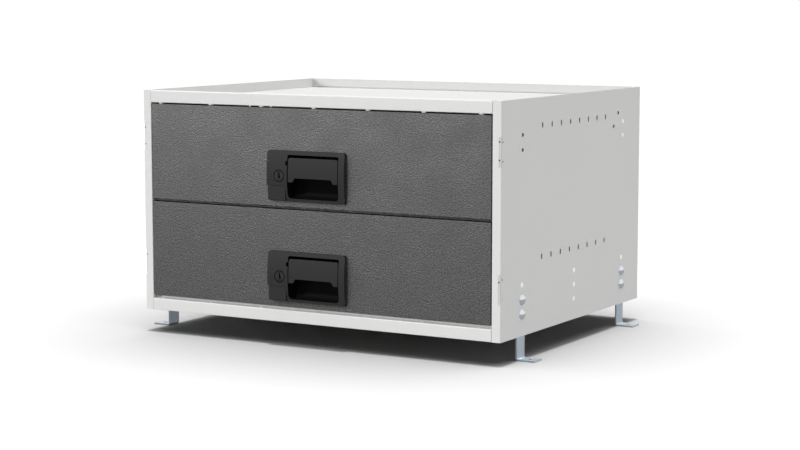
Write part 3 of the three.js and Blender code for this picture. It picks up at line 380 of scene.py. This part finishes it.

# Low-density polythene, moulded thin and waxy. A weak emission paints a glow on each cap, so it shows a
# touch brighter than the panel round it, though the caps are no lamps.
polythene, tree, shader, place = start_material(
    "cream_polythene",
    PLUG_COLOUR,
    PLUG_ROUGHNESS,
    Subsurface_Weight=PLUG_SCATTER,
    Subsurface_Scale=PLUG_SCATTER_MM * MM,
    Emission_Strength=PLUG_PAINTED_GLOW,
)
haze = add_node(
    tree, "ShaderNodeTexNoise", {"Scale": 1 / (HAZE_MM * MM), "Detail": 1.0}, {"Vector": place}
)
bump = add_node(
    tree,
    "ShaderNodeBump",
    {"Strength": HAZE_STRENGTH, "Distance": HAZE_DEPTH_MM * MM},
    {"Height": haze.outputs[0]},
)
tree.links.new(bump.outputs["Normal"], shader.inputs["Normal"])

for hand, side in SIDES:
    for number, (across, height, head_radius) in enumerate(PLUG_PLACES_MM, start=1):
        deselect_all()
        bpy.ops.mesh.primitive_cylinder_add(
            vertices=PLUG_CORNERS,
            radius=head_radius * MM,
            depth=PLUG_HEAD_MM * MM,
            location=(side * (PANEL_FACE_MM + PLUG_HEAD_MM / 2) * MM, across * MM, height * MM),
            rotation=(0, side * QUARTER_TURN, 0),
        )
        plug = settle(f"hole_plug_{hand}_{number}")
        bpy.ops.object.mode_set(mode="EDIT")
        bpy.ops.mesh.select_mode(type="FACE")
        pick_faces(plug, lambda face: face.normal.x * side > FACING)
        bpy.ops.mesh.inset(thickness=PLUG_RIM_MM * MM)
        bpy.ops.transform.translate(value=(side * PLUG_DOME_MM * MM, 0, 0))
        pick_faces(plug, lambda face: face.normal.x * side < -FACING)
        bpy.ops.mesh.inset(thickness=(head_radius - PLUG_SHANK_RADIUS_MM) * MM)
        bpy.ops.mesh.extrude_region_move(
            TRANSFORM_OT_translate={"value": (-side * PLUG_SHANK_MM * MM, 0, 0)}
        )
        bpy.ops.object.mode_set(mode="OBJECT")
        finish_surface(plug, PLUG_EDGE_MM)
        plug.data.materials.append(polythene)
        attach(plug, "casing")


# Corner clips: a rounded tab of thin sheet round the corner of each side panel, low and high, set in a
# shallow recess. Its grey is painted shade for the recess. Near-black rivets, painted shade for the holes,
# hold it from the front and the side.
CLIP_CENTRE_MM = (371.8, -286.2)
CLIP_REACH_MM = (4.2, 3.7)
CLIP_HEIGHT_MM = 51.6
CLIP_SHEET_MM = 0.8
CLIP_TOUCH_MM = 0.01
CLIP_CORNERS = 40
# Painted shade: the clip's grey, darker than the coat.
CLIP_PAINTED_SHADE_COLOUR = "#D2D3D2"
CLIP_ROUGHNESS = 0.5
CLIP_ROUGHNESS_RANGE = {"To Min": 0.42, "To Max": 0.58}
CLIP_GLOSS = 0.3
SPANGLE_MM = 2
RIVET_RADIUS_MM = 1.5
RIVET_HEAD_MM = 1.5
RIVET_PLACE_MM = (372.9, -289.5)
RIVET_EDGE_MM = 0.4
RIVET_CORNERS = 16
# Painted shade: the rivets' near-black.
RIVET_PAINTED_SHADE_COLOUR = "#3A3A3A"
RIVET_ROUGHNESS = 0.6
RIVET_ROUGHNESS_RANGE = {"To Min": 0.52, "To Max": 0.68}
RIVET_GLOSS = 0.3
RIVET_SCUFF_MM = 0.6
SIDE_RIVET_RADIUS_MM = 1.1
SIDE_RIVET_Y_MM = -284.4

# The clip's middle height, then the heights of its front rivets and of its side rivets.
CLIP_PLACES_MM = (
    ("lower", 133.5, (146.8,), (150.8,)),
    ("upper", 369.2, (355.6, 387.0), (352.9, 386.2)),
)

# The clips' sheet: a flat pale grey a little darker than the white coat beside it, painted shade for the
# corner's recess.
clip_sheet, tree, shader, place = start_material(
    "clip_sheet_painted_shade", CLIP_PAINTED_SHADE_COLOUR, CLIP_ROUGHNESS, Specular_IOR_Level=CLIP_GLOSS
)
spangle = add_node(
    tree, "ShaderNodeTexNoise", {"Scale": 1 / (SPANGLE_MM * MM), "Detail": 1.0}, {"Vector": place}
)
rough = add_node(tree, "ShaderNodeMapRange", CLIP_ROUGHNESS_RANGE, {"Value": spangle.outputs[0]})
tree.links.new(rough.outputs["Result"], shader.inputs["Roughness"])

# Rivet heads: small, dull and almost black, painted shade for the holes, so they read as dots.
dark_rivet_shade, tree, shader, place = start_material(
    "rivet_painted_shade", RIVET_PAINTED_SHADE_COLOUR, RIVET_ROUGHNESS, Specular_IOR_Level=RIVET_GLOSS
)
scuff = add_node(
    tree, "ShaderNodeTexNoise", {"Scale": 1 / (RIVET_SCUFF_MM * MM), "Detail": 1.0}, {"Vector": place}
)
rough = add_node(tree, "ShaderNodeMapRange", RIVET_ROUGHNESS_RANGE, {"Value": scuff.outputs[0]})
tree.links.new(rough.outputs["Result"], shader.inputs["Roughness"])

for hand, side in SIDES:
    for clip_name, height, rivets, side_rivets in CLIP_PLACES_MM:
        deselect_all()
        bpy.ops.mesh.primitive_circle_add(
            vertices=CLIP_CORNERS,
            radius=CLIP_REACH_MM[0] * MM,
            location=(
                side * CLIP_CENTRE_MM[0] * MM,
                CLIP_CENTRE_MM[1] * MM,
                (height - CLIP_HEIGHT_MM / 2) * MM,
            ),
        )
        bpy.context.object.scale = (1, CLIP_REACH_MM[1] / CLIP_REACH_MM[0], 1)
        clip = settle(f"corner_clip_{clip_name}_{hand}")
        bpy.ops.object.mode_set(mode="EDIT")
        bpy.ops.mesh.select_mode(type="VERT")
        mesh = bmesh.from_edit_mesh(clip.data)
        for corner in mesh.verts:
            inward = corner.co.x * side / MM < CLIP_CENTRE_MM[0] - CLIP_TOUCH_MM
            corner.select = inward or corner.co.y / MM > CLIP_CENTRE_MM[1] + CLIP_TOUCH_MM
        mesh.select_flush_mode()
        bmesh.update_edit_mesh(clip.data)
        bpy.ops.mesh.delete(type="VERT")
        bpy.ops.mesh.select_all(action="SELECT")
        bpy.ops.mesh.extrude_region_move(TRANSFORM_OT_translate={"value": (0, 0, CLIP_HEIGHT_MM * MM)})
        bpy.ops.mesh.select_all(action="SELECT")
        bpy.ops.mesh.normals_make_consistent(inside=False)
        mesh = bmesh.from_edit_mesh(clip.data)
        outward = sum(face.normal.x * side - face.normal.y for face in mesh.faces) > 0
        if not outward:
            bpy.ops.mesh.flip_normals()
        bpy.ops.object.mode_set(mode="OBJECT")
        shell = clip.modifiers.new("sheet", "SOLIDIFY")
        shell.thickness = CLIP_SHEET_MM * MM
        shell.offset = -1
        bpy.ops.object.modifier_apply(modifier=shell.name)
        finish_surface(clip)
        clip.data.materials.append(clip_sheet)
        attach(clip, "casing")
        for number, rivet_height in enumerate((*rivets, *side_rivets), start=1):
            in_front = number <= len(rivets)
            place_mm = RIVET_PLACE_MM if in_front else (PANEL_FACE_MM, SIDE_RIVET_Y_MM)
            deselect_all()
            bpy.ops.mesh.primitive_cylinder_add(
                vertices=RIVET_CORNERS,
                radius=(RIVET_RADIUS_MM if in_front else SIDE_RIVET_RADIUS_MM) * MM,
                depth=RIVET_HEAD_MM * MM,
                location=(side * place_mm[0] * MM, place_mm[1] * MM, rivet_height * MM),
                rotation=(QUARTER_TURN, 0, 0) if in_front else (0, QUARTER_TURN, 0),
            )
            rivet = settle(f"clip_rivet_{clip_name}_{hand}_{number}")
            finish_surface(rivet, RIVET_EDGE_MM)
            rivet.data.materials.append(dark_rivet_shade)
            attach(rivet, "casing")


# Feet and bolts: 30 mm flat bar bent cold, and pressed cup-head bolts, both zinc plated.
# The bolts clamp each foot against the inside of its side panel.
ENDS = ("front", "rear")
HANDS = ("left", "right")
LEVELS = ("lower", "upper")
ZINC_COLOUR = "#DCE2E8"
ZINC_ROUGHNESS = 0.16
ZINC_CLOUD_MM = 9
BAR_COLOUR = "#B9C3CC"
BAR_ROUGHNESS = 0.46
BAR_METALLIC = 0.4
BAR_MARK_MM = 2.5
BAR_MARK_DEPTH_MM = 0.02
BAR_MARK_STRENGTH = 0.2
FOOT_EDGE_MM = 0.3
HEAD_SPREAD = 1.15

# Bright zinc plate with a clear passivate: a cool mirror made soft by the rolled steel under it,
# with faint clouds where the bath ran unevenly.
zinc_plate, tree, shader, place = start_material(
    "bright_zinc_plate", ZINC_COLOUR, ZINC_ROUGHNESS, Metallic=1.0
)
cloud = add_node(
    tree, "ShaderNodeTexNoise", {"Scale": 1 / (ZINC_CLOUD_MM * MM), "Detail": 3.0}, {"Vector": place}
)
rough = add_node(
    tree,
    "ShaderNodeMapRange",
    {"From Min": 0.3, "From Max": 0.7, "To Min": ZINC_ROUGHNESS - 0.03, "To Max": ZINC_ROUGHNESS + 0.04},
    {"Value": cloud.outputs[0]},
)
tree.links.new(rough.outputs["Result"], shader.inputs["Roughness"])

# The feet's hot-rolled bar is rougher below the same plate: a duller blue-grey that scatters light.
dull_zinc, tree, shader, place = start_material(
    "dull_zinc_on_bar", BAR_COLOUR, BAR_ROUGHNESS, Metallic=BAR_METALLIC
)
marks = add_node(
    tree, "ShaderNodeTexNoise", {"Scale": 1 / (BAR_MARK_MM * MM), "Detail": 2.0}, {"Vector": place}
)
bump = add_node(
    tree,
    "ShaderNodeBump",
    {"Strength": BAR_MARK_STRENGTH, "Distance": BAR_MARK_DEPTH_MM * MM},
    {"Height": marks.outputs[0]},
)
tree.links.new(bump.outputs["Normal"], shader.inputs["Normal"])

foot_pieces = []
bolt_pieces = []
for end in ENDS:
    for hand in HANDS:
        foot_pieces.append(finished_copy(f"foot_{end}_{hand}", dull_zinc, FOOT_EDGE_MM))
        for level in LEVELS:
            bolt = finished_copy(f"bolt_{end}_{hand}_{level}", zinc_plate)
            bolt_pieces.append(bolt)
            # The pressed head flares a little wider than its blank.
            deselect_all()
            bolt.select_set(True)
            bpy.context.view_layer.objects.active = bolt
            bpy.ops.object.mode_set(mode="EDIT")
            bpy.ops.mesh.select_mode(type="VERT")
            mesh = bmesh.from_edit_mesh(bolt.data)
            for corner in mesh.verts:
                corner.select = abs(corner.co.x) > PANEL_FACE_MM * MM
            head = [corner.co.copy() for corner in mesh.verts if corner.select]
            axis_y, axis_z = [(min(c[i] for c in head) + max(c[i] for c in head)) / 2 for i in (1, 2)]
            mesh.select_flush_mode()
            bmesh.update_edit_mesh(bolt.data)
            bpy.ops.transform.resize(
                value=(1, HEAD_SPREAD, HEAD_SPREAD), center_override=(0, axis_y, axis_z)
            )
            bpy.ops.object.mode_set(mode="OBJECT")


# Drawers and slides: three nested slide members a side, rolled from bright strip, carry boxes and
# floors that have the casing's white coat. Zinc-plated strike plates meet the tongues.
SLIDE_MEMBERS = ("outer", "middle", "inner")
STEEL_COLOUR = "#C4C8CC"
STEEL_ROUGHNESS = 0.28
ROLL_LINES_PER_MM = 0.9
ROLL_LINE_STRETCH = 0.02
ROLL_LINE_DEPTH_MM = 0.02
ROLL_LINE_STRENGTH = 0.2
STRIKE_EDGE_MM = 0.2

# Cold-rolled strip, lightly oiled: fine lines run along each member from the rolls. They are drawn
# about a millimetre apart, coarser than the real ones, to show.
strip_steel, tree, shader, place = start_material(
    "bright_strip_steel", STEEL_COLOUR, STEEL_ROUGHNESS, Metallic=1.0
)
stretch = add_node(tree, "ShaderNodeMapping", {"Scale": (1, ROLL_LINE_STRETCH, 1)}, {"Vector": place})
drawn = add_node(
    tree,
    "ShaderNodeTexNoise",
    {"Scale": ROLL_LINES_PER_MM / MM, "Detail": 2.0},
    {"Vector": stretch.outputs["Vector"]},
)
bump = add_node(
    tree,
    "ShaderNodeBump",
    {"Strength": ROLL_LINE_STRENGTH, "Distance": ROLL_LINE_DEPTH_MM * MM},
    {"Height": drawn.outputs[0]},
)
tree.links.new(bump.outputs["Normal"], shader.inputs["Normal"])

strikes = []
for level in LEVELS:
    for hand in HANDS:
        for member in SLIDE_MEMBERS:
            finished_copy(f"slide_{member}_{level}_{hand}", strip_steel)
    finished_copy(f"drawer_box_{level}", powder_coat)
    finished_copy(f"drawer_floor_{level}", powder_coat)
    strikes.append(finished_copy(f"strike_plate_{level}", zinc_plate, STRIKE_EDGE_MM))


# Drawer fronts: 18 mm panels moulded in mid-grey plastic with a coarse pebbled grain, screwed to
# the boxes from inside.
# Painted highlight and shade: lighter pebble ridges, darker valleys.
FRONT_RIDGE_LIT_COLOUR = "#464646"
FRONT_VALLEY_SHADE_COLOUR = "#1E1E1E"
FRONT_ROUGHNESS = 0.55
FRONT_GLOSS = 0.36
GRAIN_MM = 2.5
GRAIN_DEPTH_MM = 0.3
GRAIN_DRIFT_MM = 60

# Polypropylene from a grained tool: rounded pebbles about 2.5 mm across, their tops painted lighter as
# highlight and the valleys between them painted darker as shade. Their period is a little coarser than the
# real one, to show.
grained_plastic, tree, shader, place = start_material(
    "grained_grey_polypropylene", FRONT_RIDGE_LIT_COLOUR, FRONT_ROUGHNESS, Specular_IOR_Level=FRONT_GLOSS
)
pebbles = add_node(
    tree,
    "ShaderNodeTexNoise",
    {"Scale": 1 / (GRAIN_MM * MM), "Detail": 1.0, "Roughness": 0.5, "Distortion": 0.4},
    {"Vector": place},
)
drift = add_node(
    tree, "ShaderNodeTexNoise", {"Scale": 1 / (GRAIN_DRIFT_MM * MM), "Detail": 1.0}, {"Vector": place}
)
relief = add_node(
    tree, "ShaderNodeMapRange", {"From Min": 0.4, "From Max": 0.6}, {"Value": pebbles.outputs[0]}
)
painted_pebble_shade = add_node(tree, "ShaderNodeMix", {"data_type": "RGBA"}, {0: relief.outputs["Result"]})
painted_pebble_shade.inputs[6].default_value = linear(FRONT_VALLEY_SHADE_COLOUR)
painted_pebble_shade.inputs[7].default_value = linear(FRONT_RIDGE_LIT_COLOUR)
tree.links.new(painted_pebble_shade.outputs[2], shader.inputs["Base Color"])
gloss = add_node(
    tree,
    "ShaderNodeMapRange",
    {"From Min": 0.3, "From Max": 0.7, "To Min": FRONT_ROUGHNESS - 0.04, "To Max": FRONT_ROUGHNESS + 0.06},
    {"Value": drift.outputs[0]},
)
tree.links.new(gloss.outputs["Result"], shader.inputs["Roughness"])
bump = add_node(
    tree,
    "ShaderNodeBump",
    {"Strength": 1.0, "Distance": GRAIN_DEPTH_MM * MM},
    {"Height": relief.outputs["Result"]},
)
tree.links.new(bump.outputs["Normal"], shader.inputs["Normal"])

front_pieces = [finished_copy(f"drawer_front_{level}", grained_plastic) for level in LEVELS]


# Paddle latches: housing, blank cover and paddle moulded in black nylon with a fine etch. The lock's
# cap is smooth, its cam and the tongue are zinc-plated steel, and the paddle hangs on a steel pin.
LATCH_COLOUR = "#272727"
LATCH_ROUGHNESS = 0.5
LATCH_GLOSS = 0.4
LATCH_EDGE_MM = 0.4
ETCH_MM = 0.9
ETCH_DEPTH_MM = 0.05
ETCH_STRENGTH = 0.3
LOCK_COLOUR = "#262626"
LOCK_ROUGHNESS = 0.44
LOCK_ROUGHNESS_RANGE = {"To Min": 0.34, "To Max": 0.46}
LOCK_SCUFF_MM = 0.5
LOCK_EDGE_MM = 0.3
LOCK_FACE_MM = 0.2
RING_FROM_MM = 9.2
RING_WIDTH_MM = 1.5
# Painted shade: the pocket's and the cap ring's blacker nylon.
POCKET_PAINTED_SHADE_COLOUR = "#060606"
POCKET_ROUGHNESS = 0.6
POCKET_ROUGHNESS_RANGE = {"To Min": 0.52, "To Max": 0.68}
POCKET_GLOSS = 0.1
POCKET_FLOW_MM = 8
POCKET_FROM_MM = 4
CAM_EDGE_MM = 0.2
TONGUE_EDGE_MM = 0.3

# Glass-filled nylon from a spark-eroded tool: black, dry-looking, with a very fine even etch.
black_nylon, tree, shader, place = start_material(
    "etched_black_nylon", LATCH_COLOUR, LATCH_ROUGHNESS, Specular_IOR_Level=LATCH_GLOSS
)
etch = add_node(
    tree, "ShaderNodeTexNoise", {"Scale": 1 / (ETCH_MM * MM), "Detail": 1.0}, {"Vector": place}
)
bump = add_node(
    tree,
    "ShaderNodeBump",
    {"Strength": ETCH_STRENGTH, "Distance": ETCH_DEPTH_MM * MM},
    {"Height": etch.outputs[0]},
)
tree.links.new(bump.outputs["Normal"], shader.inputs["Normal"])

# Lock cap: the same nylon polished smooth, so it is a touch darker with a soft gleam.
lock_black, tree, shader, place = start_material(
    "smooth_black_cap", LOCK_COLOUR, LOCK_ROUGHNESS, Specular_IOR_Level=LATCH_GLOSS
)
scuff = add_node(
    tree, "ShaderNodeTexNoise", {"Scale": 1 / (LOCK_SCUFF_MM * MM), "Detail": 2.0}, {"Vector": place}
)
rough = add_node(tree, "ShaderNodeMapRange", LOCK_ROUGHNESS_RANGE, {"Value": scuff.outputs[0]})
tree.links.new(rough.outputs["Result"], shader.inputs["Roughness"])

# Painted shade: deep in the pocket and in a ring round the lock's cap, a blacker, matt copy of the nylon
# without the etch, for the shade that falls there.
painted_shade_black, tree, shader, place = start_material(
    "black_nylon_painted_shade", POCKET_PAINTED_SHADE_COLOUR, POCKET_ROUGHNESS, Specular_IOR_Level=POCKET_GLOSS
)
flow = add_node(
    tree, "ShaderNodeTexNoise", {"Scale": 1 / (POCKET_FLOW_MM * MM), "Detail": 1.0}, {"Vector": place}
)
rough = add_node(tree, "ShaderNodeMapRange", POCKET_ROUGHNESS_RANGE, {"Value": flow.outputs[0]})
tree.links.new(rough.outputs["Result"], shader.inputs["Roughness"])

latch_pieces = []
for level in LEVELS:
    housing = finished_copy(f"latch_housing_{level}", black_nylon, LATCH_EDGE_MM)
    # Painted shade: the housing's faces deep in the pocket take the blacker nylon.
    housing.data.materials.append(painted_shade_black)
    pocket_from = min(corner.co.y for corner in housing.data.vertices) + POCKET_FROM_MM * MM
    for face in housing.data.polygons:
        face.material_index = int(face.center.y > pocket_from)
    latch_pieces.append(housing)
    latch_pieces.append(finished_copy(f"latch_cover_{level}", black_nylon, LATCH_EDGE_MM))
    latch_pieces.append(finished_copy(f"latch_paddle_{level}", black_nylon, LATCH_EDGE_MM))

    cylinder = finished_copy(f"lock_cylinder_{level}", lock_black, LOCK_EDGE_MM)
    # Painted shade: a flat ring inset at the cap's rim takes the blacker nylon as the groove's shade.
    cylinder.data.materials.append(painted_shade_black)
    places = [corner.co for corner in cylinder.data.vertices]
    axis_x, axis_z = [(min(p[i] for p in places) + max(p[i] for p in places)) / 2 for i in (0, 2)]
    cap_face = min(p.y for p in places) + LOCK_FACE_MM * MM
    bpy.ops.object.mode_set(mode="EDIT")
    bpy.ops.mesh.select_mode(type="FACE")
    pick_faces(cylinder, lambda face: face.normal.y < -FACING and face.calc_center_median().y < cap_face)
    bpy.ops.mesh.inset(thickness=RING_WIDTH_MM * MM)
    bpy.ops.object.mode_set(mode="OBJECT")
    for face in cylinder.data.polygons:
        reach = math.hypot(face.center.x - axis_x, face.center.z - axis_z)
        face.material_index = int(reach > RING_FROM_MM * MM)
    latch_pieces.append(cylinder)

    finished_copy(f"lock_cam_{level}", zinc_plate, CAM_EDGE_MM)
    finished_copy(f"latch_tongue_{level}", zinc_plate, TONGUE_EDGE_MM)
    finished_copy(f"latch_pin_{level}", strip_steel)


# Studio: a white floor that keeps the unit's shadow, under a lamp straight above and a soft ceiling
# around it. Broad lamps light the fronts and the right side, and leave the floor alone.
FLOOR_SIZE = 60
FLOOR_BOUNCE = 0.66
FLOOR_IN_GLOSS = 0.42
# Painted shade: an occlusion node greys the floor round and under the unit.
FLOOR_PAINTED_SHADE = 0.5
PAINTED_SHADE_REACH = 0.5
PAINTED_SHADE_SAMPLES = 16
CEILING = 1.32
CEILING_LOW = math.sin(math.radians(38))
CEILING_HIGH = math.sin(math.radians(66))
TOP_LAMP = 0.5
FRONT_LAMP = 0.485
SIDE_LAMP = 0.222
BASE_LAMP = 0.46
FOOT_TOP_LAMP = 0.65
FOOT_SIDE_LAMP = 0.13
GAP_LAMP = 0.05
LATCH_LAMP = 0.45
SHEEN_LAMP_WATTS = 68
SHEEN_LAMP_SIZE = (2.4, 0.3)
SHARP_DEGREES = 2
SOFT_DEGREES = 12
BROAD_DEGREES = 30

# Matt white paper: even and bright to the eye, with painted shade from an occlusion node where the unit
# stands close over it, and toned down for what it throws back on the unit.
floor_paint, tree, shader, place = start_material("studio_floor", "#FFFFFF", 1.0, Specular_IOR_Level=0.0)
path = add_node(tree, "ShaderNodeLightPath", {})
in_gloss = add_node(tree, "ShaderNodeMix", {"data_type": "RGBA"}, {0: path.outputs["Is Glossy Ray"]})
in_gloss.inputs[6].default_value = (FLOOR_BOUNCE, FLOOR_BOUNCE, FLOOR_BOUNCE, 1)
in_gloss.inputs[7].default_value = (FLOOR_IN_GLOSS, FLOOR_IN_GLOSS, FLOOR_IN_GLOSS, 1)
shade_occlusion = add_node(
    tree, "ShaderNodeAmbientOcclusion", {"samples": PAINTED_SHADE_SAMPLES, "Distance": PAINTED_SHADE_REACH}
)
painted_shade_tone = add_node(
    tree,
    "ShaderNodeMapRange",
    {"From Min": 0.35, "From Max": 0.97, "To Min": FLOOR_PAINTED_SHADE},
    {"Value": shade_occlusion.outputs["AO"]},
)
floor_tone = add_node(
    tree,
    "ShaderNodeMix",
    {"data_type": "RGBA"},
    {0: path.outputs["Is Camera Ray"], 6: in_gloss.outputs[2], 7: painted_shade_tone.outputs["Result"]},
)
tree.links.new(floor_tone.outputs[2], shader.inputs["Base Color"])
deselect_all()
bpy.ops.mesh.primitive_plane_add(size=FLOOR_SIZE, location=(0, 0, 0))
floor = bpy.context.object
floor.name = "studio_floor"
floor.data.materials.append(floor_paint)

# The sky is white to the eye and in gloss. Its light comes only from high up, as from a ceiling.
world = bpy.data.worlds.new("studio_sky")
world.use_nodes = True
bpy.context.scene.world = world
tree = world.node_tree
background = tree.nodes["Background"]
direction = add_node(tree, "ShaderNodeTexCoord", {})
rise = add_node(tree, "ShaderNodeSeparateXYZ", {}, {0: direction.outputs["Generated"]})
ceiling = add_node(
    tree,
    "ShaderNodeMapRange",
    {
        "interpolation_type": "SMOOTHSTEP",
        "From Min": CEILING_LOW,
        "From Max": CEILING_HIGH,
        "To Min": 0.0,
        "To Max": CEILING,
    },
    {"Value": rise.outputs["Z"]},
)
path = add_node(tree, "ShaderNodeLightPath", {})
seen = add_node(
    tree,
    "ShaderNodeMath",
    {"operation": "MAXIMUM"},
    {0: path.outputs["Is Camera Ray"], 1: path.outputs["Is Glossy Ray"]},
)
strength = add_node(
    tree,
    "ShaderNodeMapRange",
    {"To Max": 1.0},
    {"Value": seen.outputs[0], "To Min": ceiling.outputs["Result"]},
)
tree.links.new(strength.outputs["Result"], background.inputs["Strength"])
background.inputs["Color"].default_value = (1, 1, 1, 1)


def add_lamp(name, kind, place, target, energy, spread, lit=(), missed=()):
    """A sun of so many degrees, or a panel of so many metres, for all pieces or for those named."""
    bpy.ops.object.light_add(type=kind, location=place)
    lamp = bpy.context.object
    lamp.name = name
    lamp.data.energy = energy
    if kind == "SUN":
        lamp.data.angle = math.radians(spread)
    else:
        lamp.data.shape = "RECTANGLE"
        lamp.data.size, lamp.data.size_y = spread
    lamp.rotation_euler = (Vector(target) - lamp.location).to_track_quat("-Z", "Y").to_euler()
    if lit or missed:
        linked = bpy.data.collections.new(name + "_links")
        for thing in (*lit, *missed):
            linked.objects.link(thing)
        for entry in linked.collection_objects:
            entry.light_linking.link_state = "INCLUDE" if lit else "EXCLUDE"
        lamp.light_linking.receiver_collection = linked
    return lamp


middle_rail = casing_pieces["middle_rail"]
front_missed = (floor, *latch_pieces, *foot_pieces, *bolt_pieces, *strikes, middle_rail)
right_missed = (floor, *bolt_pieces, *foot_pieces)
for name, place, target, strength, spread, lit, missed in (
    ("lamp_above", (0, 0, 3), (0, 0, 0), TOP_LAMP, SHARP_DEGREES, (), bolt_pieces),
    ("lamp_front", (-1.0, -3.0, 0.75), (0, 0, 0.25), FRONT_LAMP, SOFT_DEGREES, (), front_missed),
    ("lamp_right", (3.0, 0, 1.0), (0, 0, 0.2), SIDE_LAMP, BROAD_DEGREES, (), right_missed),
    ("lamp_latch", (-1.0, -2.6, 3.3), (0, 0, 0.25), LATCH_LAMP, SOFT_DEGREES, latch_pieces, ()),
):
    add_lamp(name, "SUN", place, target, strength * math.pi, spread, lit, missed)

# A long panel at the upper left shows in the fronts' pebbles and lights nothing else.
sheen = add_lamp(
    "lamp_sheen",
    "AREA",
    (-0.58, -1.3, 0.85),
    (0.1, -0.3, 0.25),
    SHEEN_LAMP_WATTS,
    SHEEN_LAMP_SIZE,
    lit=front_pieces,
)
sheen.visible_diffuse = False

# Light from all round reaches the base, the rails and the feet through gaps that are too narrow
# for the lamps above: small shadowless lamps stand in for it.
for name, place, strength, lit in (
    ("lamp_base", (0.8, 0, 3), BASE_LAMP, (casing_pieces["base_panel"],)),
    ("lamp_feet_above", (0.8, 0, 3), FOOT_TOP_LAMP, foot_pieces),
    ("lamp_feet_right", (3, 0, 1), FOOT_SIDE_LAMP, foot_pieces),
    ("lamp_gap", (0, -3, 0.3), GAP_LAMP, (middle_rail, *strikes)),
):
    small_lamp = add_lamp(name, "SUN", place, (0, 0, 0), strength * math.pi, SHARP_DEGREES, lit)
    small_lamp.data.use_shadow = False

bpy.context.scene.view_settings.view_transform = "Standard"
